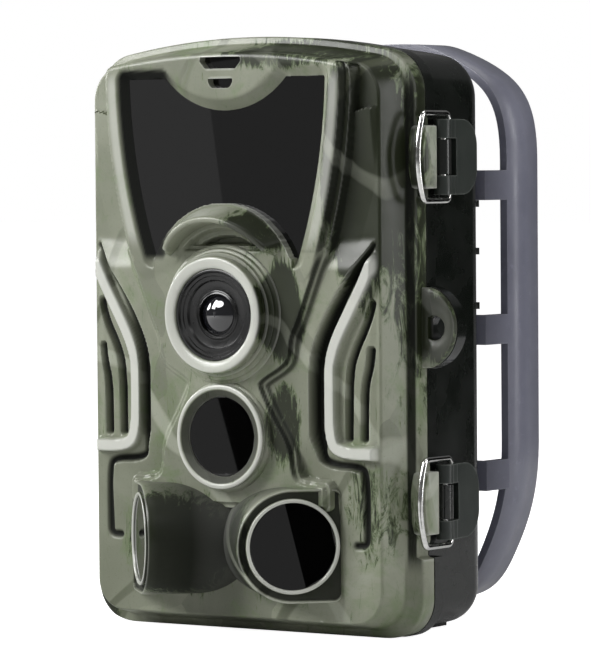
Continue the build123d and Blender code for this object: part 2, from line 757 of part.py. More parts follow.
button_places = {"up": (0, pad_z + pad_step), "down": (0, pad_z - pad_step),
                 "left": (pad_step, pad_z), "right": (-pad_step, pad_z), "ok": (0, pad_z),
                 "menu": (menu_x, menu_z), "shot": (shot_x, shot_z)}
with BuildPart() as tact_switches:
    with Locations(*[(x, y_at(board_back_depth + 0.7), z) for x, z in button_places.values()]):
        Box(6.0, 1.3, 6.0)
tact_switches.part.label = "tact_switches"
export_step(tact_switches.part, "parts/tact_switches.step")

with BuildPart() as board_chips:
    for x, z, width, tall in ((-14.0, 95.0, 12.0, 12.0), (10.0, 96.0, 9.0, 13.0), (17.0, 66.0, 6.0, 6.0),
                              (-18.0, 58.0, 10.0, 6.0), (18.0, 34.0, 7.0, 9.0)):
        with Locations((x, y_at(board_front_depth - 0.65), z)):
            Box(width, 1.2, tall)
board_chips.part.label = "board_chips"
export_step(board_chips.part, "parts/board_chips.step")

with BuildPart() as lcd_module:
    with Locations((0, y_at(8.8), lcd_z)):
        Box(lcd_width + 4.0, 2.8, lcd_height + 4.0)
lcd_module.part.label = "lcd_module"
export_step(lcd_module.part, "parts/lcd_module.step")

with BuildPart() as lcd_window:
    with BuildSketch(facing_front(panel_back_depth - 0.1)):
        with Locations((0, lcd_z)):
            RectangleRounded(lcd_width - 0.2, lcd_height - 0.2, 1.4)
    extrude(amount=1.2)
lcd_window.part.label = "lcd_window"
export_step(lcd_window.part, "parts/lcd_window.step")

# ports in the recess at the bottom of the panel, mouths down
port_top, port_low = 44.0, 34.5
with BuildPart() as card_socket:
    with Locations((card_x, y_at(8.7), (port_low + port_top) / 2 + 4.0)):
        Box(14.0, 3.2, port_top - port_low + 8.0)
    with Locations((card_x, y_at(8.7), port_low + 6.0)):
        Box(11.8, 1.6, 18.0, mode=Mode.SUBTRACT)
card_socket.part.label = "card_socket"
export_step(card_socket.part, "parts/card_socket.step")

with BuildPart() as memory_card:
    with Locations((card_x, y_at(8.7), port_low + 6.4)):
        Box(11.2, 1.0, 15.2)
memory_card.part.label = "memory_card"
export_step(memory_card.part, "parts/memory_card.step")

with BuildPart() as usb_port:
    with Locations((usb_x, y_at(8.6), port_low + 3.5)):
        Box(8.0, 3.0, 7.0)
    with Locations((usb_x, y_at(8.6), port_low + 2.5)):
        Box(6.8, 1.8, 5.2, mode=Mode.SUBTRACT)
    with Locations((usb_x, y_at(8.4), port_low + 4.0)):
        Box(5.0, 0.6, 5.6)
usb_port.part.label = "usb_port"
export_step(usb_port.part, "parts/usb_port.step")

with BuildPart() as av_jack:
    with Locations((av_x, y_at(8.7), port_low + 4.5)):
        Box(5.0, 3.3, 9.0)
    with BuildSketch(Plane.XY.offset(port_low)):
        with Locations((av_x, y_at(8.7))):
            Circle(1.25)
    extrude(amount=7.5, mode=Mode.SUBTRACT)
av_jack.part.label = "av_jack"
export_step(av_jack.part, "parts/av_jack.step")

# ---------------------------------------------------------------- inner panel and its keys
with BuildPart() as inner_panel:
    with BuildSketch(facing_front(panel_back_depth)):
        add(inset_outline(4.4))
        with Locations((0, lcd_z)):
            RectangleRounded(lcd_width, lcd_height, 1.5, mode=Mode.SUBTRACT)
        for x, z in button_places.values():
            with Locations((x, z)):
                Circle(button_radius + 0.3, mode=Mode.SUBTRACT)
        with Locations((switch_x, switch_z)):
            Rectangle(3.6 + 2 * switch_travel, 3.6, mode=Mode.SUBTRACT)
        with Locations((0, (recess_low + recess_high) / 2)):
            RectangleRounded(2 * recess_half, recess_high - recess_low, 2.0, mode=Mode.SUBTRACT)
        with Locations(*[(side * post_x, z) for side in (1, -1) for z in post_heights]):
            Circle(1.2, mode=Mode.SUBTRACT)
    extrude(amount=panel_back_depth - panel_front_depth)
    with BuildSketch(facing_front(panel_back_depth)):
        with Locations(*[(side * post_x, z) for side in (1, -1) for z in post_heights]):
            Circle(2.3)
    extrude(amount=1.0, mode=Mode.SUBTRACT)
inner_panel.part.label = "inner_panel"
export_step(inner_panel.part, "parts/inner_panel.step")

with BuildPart() as panel_screws:
    for side in (1, -1):
        for z in post_heights:
            with BuildSketch(facing_front(panel_back_depth - 0.1)):
                with Locations((side * post_x, z)):
                    Circle(2.1)
            extrude(amount=0.9)
            with BuildSketch(facing_front(panel_back_depth - 1.0)):
                with Locations((side * post_x, z)):
                    Circle(0.95)
            extrude(amount=6.5)
panel_screws.part.label = "panel_screws"
export_step(panel_screws.part, "parts/panel_screws.step")

for name, (x, z) in button_places.items():
    with BuildPart() as button:
        with BuildSketch(facing_front(panel_back_depth + 0.7)):
            with Locations((x, z)):
                Circle(button_radius)
        extrude(amount=3.8)
        fillet(button.faces().sort_by(Axis.Y)[-1].edges(), 0.4)
        with BuildSketch(facing_front(10.05)):
            with Locations((x, z)):
                Circle(button_radius + 0.9)
        extrude(amount=0.8)
    button.part.label = f"button_{name}"
    export_step(button.part, f"parts/button_{name}.step")

with BuildPart() as mode_switch_body:
    with Locations((switch_x, y_at(board_back_depth + 0.85), switch_z)):
        Box(11.0, 1.6, 5.0)
mode_switch_body.part.label = "mode_switch_body"
export_step(mode_switch_body.part, "parts/mode_switch_body.step")

with BuildPart() as mode_switch_knob:
    with Locations((switch_x, y_at(11.1), switch_z)):
        Box(3.0, 3.6, 3.0)
    with Locations((switch_x, y_at(9.6), switch_z)):
        Box(5.0, 0.8, 4.4)
mode_switch_knob.part.label = "mode_switch_knob"
export_step(mode_switch_knob.part, "parts/mode_switch_knob.step")

# ---------------------------------------------------------------- latches
for latch_z, name in zip(latch_heights, ("lower", "upper")):
    with BuildPart() as lever:
        # seen from above: barrel, lobe for the bail and the thin handle
        with BuildSketch(Plane.XY.offset(latch_z - lever_half)):
            with Locations((pivot_x, y_at(pivot_depth))):
                Circle(2.0)
            with Locations((pivot_x, y_at(bail_pivot_depth))):
                Circle(1.6)
            with Locations((pivot_x, y_at((pivot_depth + bail_pivot_depth) / 2))):
                Rectangle(3.2, bail_pivot_depth - pivot_depth)
            with Locations((pivot_x + 0.1, y_at(23.2))):
                Rectangle(1.8, 10.4)
        extrude(amount=2 * lever_half)
        # seen from the side: the handle's round end
        with BuildSketch(Plane.YZ.offset(pivot_x)) as side_view:
            with Locations((y_at(20.4), latch_z)):
                Rectangle(16.0, 2 * lever_half)
            fillet(side_view.vertices().group_by(Axis.X)[-1], 6.0)
        extrude(amount=4.0, both=True, mode=Mode.INTERSECT)
        with Locations((pivot_x, y_at(16.6), latch_z)):
            Box(8.0, 6.4, 2 * window_half, mode=Mode.SUBTRACT)
        with Locations((pivot_x, y_at(pivot_depth), latch_z)):
            Cylinder(latch_pin_radius + 0.06, 30.0, mode=Mode.SUBTRACT)
        with Locations((pivot_x, y_at(bail_pivot_depth), latch_z + 9.0),
                       (pivot_x, y_at(bail_pivot_depth), latch_z - 9.0)):
            Cylinder(wire_radius + 0.08, 5.6, mode=Mode.SUBTRACT)
    lever.part.label = f"lever_{name}"
    export_step(lever.part, f"parts/lever_{name}.step")

    with BuildPart() as bail:
        front_depth, arm_depth = 5.4, 7.6
        with BuildLine(Plane.YZ.offset(pivot_x)) as wire_path:
            Polyline((y_at(bail_pivot_depth), latch_z - 6.4), (y_at(bail_pivot_depth), latch_z - bail_half),
                     (y_at(arm_depth), latch_z - bail_half))
            ThreePointArc((y_at(arm_depth), latch_z - bail_half), (y_at(front_depth), latch_z),
                          (y_at(arm_depth), latch_z + bail_half))
            Polyline((y_at(arm_depth), latch_z + bail_half), (y_at(bail_pivot_depth), latch_z + bail_half),
                     (y_at(bail_pivot_depth), latch_z + 6.4))
            fillet(wire_path.vertices().filter_by_position(Axis.Z, latch_z - 9.9, latch_z - 9.5)
                   + wire_path.vertices().filter_by_position(Axis.Z, latch_z + 9.5, latch_z + 9.9), 1.3)
        with BuildSketch(Plane(origin=wire_path.line @ 0, z_dir=wire_path.line % 0)):
            Circle(wire_radius)
        sweep()
    bail.part.label = f"bail_{name}"
    export_step(bail.part, f"parts/bail_{name}.step")

with BuildPart() as latch_pins:
    with Locations(*[(pivot_x, y_at(pivot_depth), latch_z) for latch_z in latch_heights]):
        Cylinder(latch_pin_radius, 2 * lever_half)
latch_pins.part.label = "latch_pins"
export_step(latch_pins.part, "parts/latch_pins.step")
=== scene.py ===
import json
import math

import bmesh
import bpy
import numpy as np
from mathutils import Matrix, Vector
from mathutils.geometry import delaunay_2d_cdt


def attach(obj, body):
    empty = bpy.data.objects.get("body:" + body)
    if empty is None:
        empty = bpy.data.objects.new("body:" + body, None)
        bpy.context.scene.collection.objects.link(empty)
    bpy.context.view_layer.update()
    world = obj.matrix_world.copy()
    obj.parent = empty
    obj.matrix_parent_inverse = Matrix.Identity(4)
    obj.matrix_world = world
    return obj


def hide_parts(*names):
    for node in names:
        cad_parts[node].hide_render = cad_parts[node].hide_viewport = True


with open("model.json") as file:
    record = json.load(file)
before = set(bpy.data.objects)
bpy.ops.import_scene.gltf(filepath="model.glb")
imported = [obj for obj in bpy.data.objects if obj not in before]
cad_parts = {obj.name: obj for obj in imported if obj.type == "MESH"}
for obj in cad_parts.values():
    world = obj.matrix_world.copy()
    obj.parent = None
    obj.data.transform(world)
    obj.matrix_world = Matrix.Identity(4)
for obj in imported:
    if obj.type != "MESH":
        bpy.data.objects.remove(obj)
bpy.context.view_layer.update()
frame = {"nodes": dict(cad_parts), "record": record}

# Points are written as (x, depth, z) in millimetres. Depth runs back from the flat face of the front cover.
MM = 0.001
SOCKET_DEPTH = 26.55


def in_frame(points):
    """Rows of (x, depth, z) in millimetres as points of the frame, in metres."""
    rows = np.array(points, float).reshape(-1, 3)
    rows[:, 1] -= SOCKET_DEPTH
    return rows * MM


def smooth(low, high, value):
    """0 below low, 1 above high, and a smooth rise between them."""
    share = np.clip((value - low) / (high - low), 0.0, 1.0)
    return share * share * (3.0 - 2.0 * share)


def mixed(first, second, share):
    """First where the share is 0, second where it is 1."""
    return first * (1 - share) + second * share


# ---------------------------------------------------------------- materials
def scaled(colour, gain, lift=0.0):
    """A colour made lighter or darker, and lifted towards white."""
    return tuple(min(1.0, gain * c + lift) for c in colour)


class Nodes:
    """A material's node tree, with short calls for the nodes that the finishes share."""

    def __init__(self, name):
        self.material = bpy.data.materials.new(name)
        self.material.use_nodes = True
        self.tree = self.material.node_tree
        self.shader = self.tree.nodes["Principled BSDF"]
        self.coordinates = self.add("ShaderNodeTexCoord").outputs["Object"]

    def add(self, kind, inputs=(), **settings):
        """A node with its settings, and with sockets or plain values fed to its named inputs."""
        node = self.tree.nodes.new(kind)
        for key, value in settings.items():
            setattr(node, key, value)
        for key, value in dict(inputs).items():
            self.feed(node.inputs[key], value)
        return node

    def feed(self, target, value):
        """A socket or a plain value into a node's input."""
        if isinstance(value, bpy.types.NodeSocket):
            self.tree.links.new(value, target)
        else:
            target.default_value = value

    def turned(self, rotation=(0, 0, 0), scale=(1, 1, 1), shift=(0, 0, 0)):
        inputs = {"Vector": self.coordinates, "Rotation": [math.radians(a) for a in rotation],
                  "Scale": scale, "Location": shift}
        return self.add("ShaderNodeMapping", inputs).outputs["Vector"]

    def attribute(self, name):
        """A value that the mesh carries at each point."""
        return self.add("ShaderNodeAttribute", attribute_name=name).outputs["Fac"]

    def noise(self, scale, detail=3.0, roughness=0.55, distortion=0.0, vector=None):
        inputs = {"Vector": vector or self.coordinates, "Scale": scale, "Detail": detail,
                  "Roughness": roughness, "Distortion": distortion}
        return self.add("ShaderNodeTexNoise", inputs).outputs["Fac"]

    def ramp(self, value, *stops):
        """Colour or grey stops as (position, value)."""
        node = self.add("ShaderNodeValToRGB", {"Fac": value})
        elements = node.color_ramp.elements
        while len(elements) < len(stops):
            elements.new(0.5)
        for element, (position, colour) in zip(elements, stops):
            element.position = position
            element.color = (*colour, 1) if isinstance(colour, tuple) else (colour,) * 3 + (1,)
        return node.outputs["Color"]

    def mix(self, share, first, second, blend="MIX"):
        first, second = ((*tone, 1) if isinstance(tone, tuple) else tone for tone in (first, second))
        inputs = {0: share, 6: first, 7: second}
        return self.add("ShaderNodeMix", inputs, data_type="RGBA", blend_type=blend).outputs[2]

    def maths(self, operation, first, second):
        return self.add("ShaderNodeMath", {0: first, 1: second}, operation=operation).outputs[0]

    def bump(self, height, strength, distance, normal=None):
        inputs = {"Height": height, "Strength": strength, "Distance": distance}
        if normal:
            inputs["Normal"] = normal
        return self.add("ShaderNodeBump", inputs).outputs["Normal"]

    def edge(self, low, high):
        """0 in the flats and hollows, 1 on the sharp edges of a finely divided mesh."""
        pointed = self.add("ShaderNodeNewGeometry").outputs["Pointiness"]
        return self.ramp(pointed, (low, 0.0), (high, 1.0))

    def rim(self, radius):
        """0 in the flats, 1 within about this distance of an edge, on any mesh."""
        rounded_normal = self.add("ShaderNodeBevel", {"Radius": radius}, samples=4).outputs[0]
        true_normal = self.add("ShaderNodeNewGeometry").outputs["Normal"]
        agreement = self.add("ShaderNodeVectorMath", {0: rounded_normal, 1: true_normal},
                             operation="DOT_PRODUCT")
        return self.ramp(agreement.outputs["Value"], (0.84, 1.0), (0.985, 0.0))

    def finish(self, colour, roughness, normal=None, **constants):
        """The material, with the shader's constants given as keywords, spaces as underscores."""
        self.feed(self.shader.inputs["Base Color"], colour)
        self.feed(self.shader.inputs["Roughness"], roughness)
        if normal:
            self.feed(self.shader.inputs["Normal"], normal)
        for key, value in constants.items():
            self.shader.inputs[key.replace("_", " ")].default_value = value
        return self.material


def camo_film(name, pale, gloss):
    """Printed woodland film on moulded plastic: grey sage ground, leaf shapes, bark, branches, moss."""
    n = Nodes(name)
    patches = n.noise(24.0, 3.0, 0.55, 1.0)
    ground = n.ramp(patches, (0.28, (0.165, 0.180, 0.125)), (0.45, (0.215, 0.230, 0.170)),
                    (0.58, (0.255, 0.270, 0.205)), (0.74, (0.315, 0.330, 0.262)))
    # leaf shapes: flat cells a little lighter or darker than their neighbours
    swirl = n.add("ShaderNodeTexNoise", {"Vector": n.turned((0, 30, 0)), "Scale": 55.0}).outputs["Color"]
    long_cells = n.turned((0, 30, 0), (1.0, 1.0, 0.45))
    bent = n.add("ShaderNodeVectorMath", {0: swirl, 1: (0.016, 0.016, 0.016), 2: long_cells},
                 operation="MULTIPLY_ADD").outputs[0]
    leaves = n.add("ShaderNodeTexVoronoi", {"Vector": bent, "Scale": 52.0}).outputs["Color"]
    leaf_tone = n.ramp(leaves, (0.25, 0.80), (0.50, 1.0), (0.75, 1.16))
    ground = n.mix(0.75, ground, n.mix(1.0, ground, leaf_tone, "MULTIPLY"))
    moss = n.ramp(n.noise(70.0, 5.0, 0.7, 0.6), (0.52, 0.0), (0.68, 0.6))
    ground = n.mix(moss, ground, (0.13, 0.20, 0.07))
    # bark: fine dark streaks with a green fringe, where the piece's bark attribute calls for them
    streaks = n.noise(1.0, 7.0, 0.75, 1.8, n.turned((0, 32, 0), (420.0, 200.0, 90.0)))
    cover = n.maths("ADD", n.maths("MULTIPLY", n.attribute("bark"), 0.42), n.maths("MULTIPLY", streaks, 0.75))
    cover = n.maths("ADD", cover, n.maths("MULTIPLY", n.noise(75.0), 0.22))
    ground = n.mix(n.ramp(cover, (0.56, 0.0), (0.63, 0.75)), ground, (0.10, 0.145, 0.055))
    ground = n.mix(n.ramp(cover, (0.605, 0.0), (0.68, 0.95)), ground, (0.012, 0.015, 0.006))
    # branches: thin distorted bands, dark or pale
    for angle, shift, colour, strength in ((52, 0.21, (0.40, 0.42, 0.34), 0.6),
                                           (-30, 0.47, (0.07, 0.08, 0.045), 0.7)):
        bands = {"Vector": n.turned((0, angle, 0), shift=(shift, 0, 0)), "Scale": 7.5, "Distortion": 2.6,
                 "Detail": 2.0, "Detail Scale": 3.0}
        wave = n.add("ShaderNodeTexWave", bands, bands_direction="X").outputs["Fac"]
        line = n.ramp(wave, (0.984, 0.0), (0.994, 1.0))
        gaps = n.noise(17.0, 2.0, vector=n.turned(shift=(shift, 5, 2)))
        shown = n.maths("MULTIPLY", line, n.ramp(gaps, (0.45, 0.0), (0.56, strength)))
        ground = n.mix(shown, ground, colour)
    flecks = n.ramp(n.noise(1700.0, 3.0, 0.7), (0.58, 0.0), (0.70, 0.35))
    ground = n.mix(flecks, ground, n.mix(1.0, ground, (0.55, 0.60, 0.50), "MULTIPLY"))
    # painted highlight: convex edges and ridges are lightened; painted shade: hollows and shaded places go
    # near black and matt
    ground = n.mix(n.maths("MULTIPLY", n.edge(0.535, 0.62), 0.75), ground, (0.62, 0.63, 0.58))
    ground = n.mix(n.maths("MULTIPLY", n.attribute("ridge"), pale), ground, (0.66, 0.67, 0.62))
    # painted shade from the point attribute: near black, rough and without coat
    recess = n.attribute("recess")
    ground = n.mix(recess, ground, (0.004, 0.005, 0.003))
    rough = n.ramp(n.noise(180.0), (0.3, gloss), (0.7, gloss + 0.14))
    rough = n.mix(recess, rough, (0.85, 0.85, 0.85))
    normal = n.bump(n.noise(2600.0, 2.0, 0.6), 0.10, 0.00006)
    normal = n.bump(n.noise(95.0, 2.0), 0.05, 0.0006, normal)
    n.feed(n.shader.inputs["Coat Weight"], n.ramp(recess, (0.0, 0.18), (0.6, 0.0)))
    return n.finish(ground, rough, normal, Coat_Roughness=0.22, Specular_IOR_Level=0.22)


def moulded(name, dark, light, rough, grain=1400.0, depth=0.12, edge_highlight=0.25, highlight_colour=None, crown=None,
            **constants):
    """Moulded plastic or rubber: mottled colour, fine grain, and edges painted paler as a highlight."""
    n = Nodes(name)
    colour = n.ramp(n.noise(55.0, 4.0, 0.6), (0.3, dark), (0.7, light))
    dust = n.ramp(n.noise(420.0, 5.0, 0.75), (0.58, 0.0), (0.80, 0.35))
    colour = n.mix(dust, colour, scaled(light, 1.7, 0.004))
    # painted highlight: edges lightened towards the highlight colour
    colour = n.mix(n.maths("MULTIPLY", n.rim(0.00045), edge_highlight), colour, highlight_colour or scaled(light, 2.2, 0.05))
    roughness = n.ramp(n.noise(130.0, 3.0), (0.3, rough), (0.7, min(1.0, rough + 0.12)))
    normal = n.bump(n.noise(grain, 2.0, 0.6), depth, 0.0001)
    if crown:
        # the long faces bow outward across this depth
        middle, half_width, rise = crown
        across = n.add("ShaderNodeSeparateXYZ", {0: n.coordinates}).outputs["Y"]
        share = n.maths("DIVIDE", n.maths("SUBTRACT", across, middle), half_width)
        bow = n.maths("MULTIPLY", n.maths("MULTIPLY", share, share), -rise)
        normal = n.bump(bow, 1.0, 1.0, normal)
    return n.finish(colour, roughness, normal, **constants)


def metal(name, dark, light, rough, brush=(60.0, 60.0, 900.0)):
    """Drawn or pressed metal: fine lines along Z, stains and small scratches."""
    n = Nodes(name)
    lines = n.noise(1.0, 4.0, 0.7, 0.2, n.turned(scale=brush))
    colour = n.ramp(lines, (0.3, dark), (0.7, light))
    stain = n.ramp(n.noise(160.0, 4.0, 0.7), (0.55, 0.0), (0.75, 0.5))
    colour = n.mix(stain, colour, scaled(dark, 0.6))
    roughness = n.ramp(lines, (0.3, rough), (0.7, rough + 0.12))
    return n.finish(colour, roughness, n.bump(lines, 0.08, 0.00005), Metallic=1.0)


def dark_pane(name, colour, haze):
    """A black filter window: deep gloss with faint dust and hairline scratches."""
    n = Nodes(name)
    dust = n.ramp(n.noise(2200.0, 4.0, 0.8), (0.68, 0.0), (0.78, 0.12))
    tint = n.ramp(n.noise(14.0, 2.0), (0.3, colour), (0.7, scaled(colour, 1.25)))
    tint = n.mix(dust, tint, (0.05, 0.05, 0.05))
    scratches = n.noise(1.0, 3.0, 0.7, 0.4, n.turned((0, 24, 0), (40.0, 40.0, 1800.0)))
    roughness = n.ramp(scratches, (0.4, haze), (0.75, haze + 0.02))
    return n.finish(tint, roughness, n.bump(dust, 0.01, 0.00001), IOR=1.5)


def clear_glass(name, tint):
    """A coated lens: dark, very smooth, with a coloured coat and specks of dust."""
    n = Nodes(name)
    dust = n.ramp(n.noise(3000.0, 3.0, 0.8), (0.70, 0.0), (0.80, 0.15))
    colour = n.ramp(n.noise(90.0, 2.0), (0.3, tint), (0.7, scaled(tint, 1.4)))
    colour = n.mix(dust, colour, (0.1, 0.1, 0.1))
    roughness = n.ramp(n.noise(700.0, 3.0), (0.4, 0.015), (0.8, 0.06))
    return n.finish(colour, roughness, IOR=1.65, Coat_Weight=1.0, Coat_Roughness=0.02)


def printed_board(name):
    """A green board with copper tracks under the mask."""
    n = Nodes(name)
    inputs = {"Vector": n.turned((90, 0, 0), (240.0, 240.0, 240.0)), "Mortar Size": 0.06,
              "Color1": (0.012, 0.07, 0.028, 1), "Color2": (0.016, 0.085, 0.034, 1),
              "Mortar": (0.05, 0.17, 0.07, 1)}
    tracks = n.add("ShaderNodeTexBrick", inputs, offset=0.37, squash=1.6)
    colour = n.mix(n.ramp(n.noise(300.0, 3.0), (0.5, 0.0), (0.8, 0.4)), tracks.outputs["Color"],
                   (0.02, 0.10, 0.05))
    rough = n.ramp(n.noise(500.0, 2.0), (0.3, 0.28), (0.7, 0.42))
    return n.finish(colour, rough, n.bump(tracks.outputs["Fac"], 0.2, 0.00008))


FINISHES = {
    "camo_plastic": camo_film("camo_film", 0.85, 0.34),
    "camo_trim": camo_film("camo_trim_film", 0.85, 0.16),
    "case_plastic": moulded("case_black", (0.002, 0.0032, 0.002), (0.005, 0.007, 0.005), 0.22,
                            edge_highlight=0.08, Coat_Weight=0.35, Coat_Roughness=0.10),
    "bracket_plastic": moulded("bracket_blue_grey", (0.152, 0.155, 0.205), (0.212, 0.215, 0.272), 0.30,
                               2600.0, 0.18, 0.4, (0.42, 0.43, 0.49), (0.02975, 0.0073, 0.0028),
                               Coat_Weight=0.6, Coat_Roughness=0.22),
    "latch_plastic": moulded("latch_green_black", (0.016, 0.021, 0.018), (0.028, 0.034, 0.029), 0.34,
                             1800.0, 0.2, 0.6, (0.22, 0.24, 0.22)),
    "wire_steel": metal("wire_steel", (0.62, 0.62, 0.60), (0.86, 0.86, 0.84), 0.10),
    "screw_steel": metal("screw_steel", (0.28, 0.28, 0.29), (0.50, 0.50, 0.50), 0.26),
    "dark_window": dark_pane("filter_pane", (0.0012, 0.0012, 0.0012), 0.008),
    "lens_plastic": moulded("lens_black", (0.003, 0.003, 0.003), (0.007, 0.007, 0.007), 0.22, 1700.0,
                            0.08, 0.10),
    "lens_glass": clear_glass("lens_glass", (0.006, 0.006, 0.008)),
    "led_clear": moulded("lamp_epoxy", (0.20, 0.21, 0.24), (0.34, 0.35, 0.40), 0.08, 900.0, 0.05),
    "board": printed_board("printed_board"),
    "chips": moulded("chip_epoxy", (0.012, 0.012, 0.013), (0.024, 0.024, 0.026), 0.45, 3200.0, 0.2),
    "sensor_metal": metal("sensor_can", (0.55, 0.54, 0.50), (0.74, 0.72, 0.66), 0.24),
    "contact_metal": metal("contact_metal", (0.60, 0.60, 0.58), (0.80, 0.79, 0.75), 0.22),
    "card_plastic": moulded("card_plastic", (0.018, 0.020, 0.024), (0.032, 0.036, 0.044), 0.35, 2600.0),
    "key_rubber": moulded("key_rubber", (0.075, 0.080, 0.078), (0.115, 0.120, 0.116), 0.62, 3000.0, 0.3),
    "switch_plastic": moulded("switch_plastic", (0.02, 0.02, 0.021), (0.04, 0.04, 0.042), 0.35),
    "tray_plastic": moulded("tray_plastic", (0.018, 0.020, 0.019), (0.034, 0.037, 0.034), 0.42),
    "cell_wrap": moulded("cell_wrap", (0.10, 0.045, 0.010), (0.17, 0.075, 0.018), 0.25, 800.0, 0.05),
    "seal_rubber": moulded("seal_rubber", (0.010, 0.010, 0.010), (0.022, 0.022, 0.022), 0.75, 2400.0,
                           0.35),
    "brass": metal("brass", (0.50, 0.33, 0.11), (0.70, 0.48, 0.18), 0.24),
}


# ---------------------------------------------------------------- mesh helpers
class Shell:
    """Points and faces gathered for one piece, with a painted shade and a painted highlight (ridge) value for
    each point.
    """

    def __init__(self):
        self.points, self.faces, self.recess, self.ridge = [], [], [], []

    def add(self, points, faces, recess=0.0, ridge=0.0):
        base = len(self.points)
        rows = np.array(points, float).reshape(-1, 3)
        self.points.extend(rows.tolist())
        self.recess.extend(np.broadcast_to(recess, len(rows)).tolist())
        self.ridge.extend(np.broadcast_to(ridge, len(rows)).tolist())
        self.faces.extend([tuple(int(i) + base for i in face) for face in faces])
        return base

    def band(self, first, second):
        """Faces between two closed rows of equally many point numbers."""
        count = len(first)
        for i in range(count):
            j = (i + 1) % count
            self.faces.append((first[i], first[j], second[j], second[i]))


# the patches round and between the side pods are print that also stands in for the shade inside the pods
# oval places with bark: x, z, half width, half height, strength
BARK_PATCHES = ((35.0, 104.0, 8.0, 30.0, 1.0), (16.0, 73.0, 5.5, 12.0, 0.9), (13.0, 92.5, 9.0, 6.5, 0.6),
                (15.5, 48.0, 4.5, 10.0, 0.6), (-11.0, 20.5, 13.0, 12.0, 1.0), (8.0, 20.0, 7.0, 12.0, 0.6),
                (37.0, 28.0, 9.0, 12.0, 0.3), (18.0, 131.0, 20.0, 4.0, 0.55), (43.0, 95.0, 4.5, 42.0, 0.5),
                (46.5, 69.5, 5.5, 8.0, 1.0), (-20.0, 21.0, 10.0, 11.0, 1.0))


def bark_at(points):
    """How much bark the print has at each point."""
    rows = np.array(points, float)
    share = np.zeros(len(rows))
    for x, z, half_width, half_height, strength in BARK_PATCHES:
        away = np.hypot((rows[:, 0] - x) / half_width, (rows[:, 2] - z) / half_height)
        share = np.maximum(share, strength * smooth(1.25, 0.55, away))
    # the wall on the hinge side has bark in bands
    hinge_wall = smooth(-38.8, -39.4, rows[:, 0]) * smooth(0.4, 2.0, rows[:, 1])
    bands = 0.5 + 0.45 * np.sin(rows[:, 2] / 11.0)
    return np.maximum(share, hinge_wall * bands)


def loft(shell, rings, loop=False, recess=0.0, ridge=0.0):
    """Skin through closed rings of equally many points; loop joins the last ring to the first."""
    size = len(rings[0])
    base = shell.add(np.concatenate([np.array(ring, float) for ring in rings]), [], recess, ridge)
    rows = [range(base + k * size, base + (k + 1) * size) for k in range(len(rings))]
    for first, second in zip(rows, rows[1:] + rows[:1] if loop else rows[1:]):
        shell.band(first, second)
    if not loop:
        shell.faces += [tuple(rows[0]), tuple(rows[-1])]


def new_object(name, data):
    """An object for this data, linked to the scene."""
    made = bpy.data.objects.new(name, data)
    bpy.context.scene.collection.objects.link(made)
    return made


def make_piece(name, shell, slot, replaces=(), sharp=32.0):
    """One piece of the cover from a shell: welded, outward normals, smooth except at sharp edges."""
    mesh = bpy.data.meshes.new(name)
    mesh.from_pydata(in_frame(shell.points).tolist(), [], shell.faces)
    # point attributes for the film: painted shade, painted highlight on ridges, and the bark share
    tones = {"recess": shell.recess, "ridge": shell.ridge, "bark": bark_at(shell.points)}
    for tone, values in tones.items():
        attribute = mesh.attributes.new(tone, "FLOAT", "POINT")
        attribute.data.foreach_set("value", np.array(values, np.float32))
    work = bmesh.new()
    work.from_mesh(mesh)
    bmesh.ops.remove_doubles(work, verts=work.verts, dist=1e-6)
    bmesh.ops.dissolve_degenerate(work, dist=1e-6, edges=work.edges)
    bmesh.ops.recalc_face_normals(work, faces=work.faces)
    if work.calc_volume(signed=True) < 0:
        bmesh.ops.reverse_faces(work, faces=work.faces)
    work.to_mesh(mesh)
    work.free()
    mesh.polygons.foreach_set("use_smooth", [True] * len(mesh.polygons))
    mesh.set_sharp_from_angle(angle=math.radians(sharp))
    piece = new_object(name, mesh)
    mesh.materials.append(FINISHES[slot])
    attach(piece, "cover")
    if replaces:
        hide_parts(*replaces)


def lathe(profile, x, z, steps=128, plane=None):
    """Rings of a closed (radius, depth) profile about a line through (x, z), or a tilted plane's normal."""
    rings = []
    for k in range(steps):
        angle = 2 * math.pi * k / steps
        ring = []
        for radius, depth in profile:
            u, v = radius * math.cos(angle), radius * math.sin(angle)
            ring.append(plane(u, v, depth) if plane else (x + u, depth, z + v))
        rings.append(ring)
    return rings


def rounded(points, radius, steps=5):
    """A closed outline with each corner turned into an arc of about this radius."""
    points = np.array(points, float)
    out = []
    for corner, before, after in zip(points, np.roll(points, 1, 0), np.roll(points, -1, 0)):
        back, ahead = before - corner, after - corner
        start = corner + back / np.linalg.norm(back) * radius
        end = corner + ahead / np.linalg.norm(ahead) * radius
        for share in np.linspace(0, 1, steps):
            out.append(mixed(mixed(start, corner, share), mixed(corner, end, share), share))
    return np.array(out)


# ---------------------------------------------------------------- distances on the front face
def arc(centre, radius, start, end, steps):
    """Points on an arc between two angles in degrees."""
    angles = np.radians(np.linspace(start, end, steps))
    return np.column_stack((centre[0] + radius * np.cos(angles), centre[1] + radius * np.sin(angles)))


def through(first, middle, last, steps):
    """Points on the arc through three points."""
    first, middle, last = (np.array(point, float) for point in (first, middle, last))
    squares = (middle @ middle - first @ first, last @ last - first @ first)
    centre = np.linalg.solve(2 * np.array((middle - first, last - first)), squares)
    start, end = (math.degrees(math.atan2(*(point - centre)[::-1])) for point in (first, last))
    end += 360 * round((start - end) / 360)
    return arc(centre, math.dist(first, centre), start, end, steps)


def curved(points, passes=3):
    """A path with its corners cut round, its ends kept."""
    path = np.array(points, float)
    for _ in range(passes):
        a, b = path[:-1], path[1:]
        cut = np.stack((0.75 * a + 0.25 * b, 0.25 * a + 0.75 * b), 1).reshape(-1, 2)
        path = np.concatenate((path[:1], cut, path[-1:]))
    return path


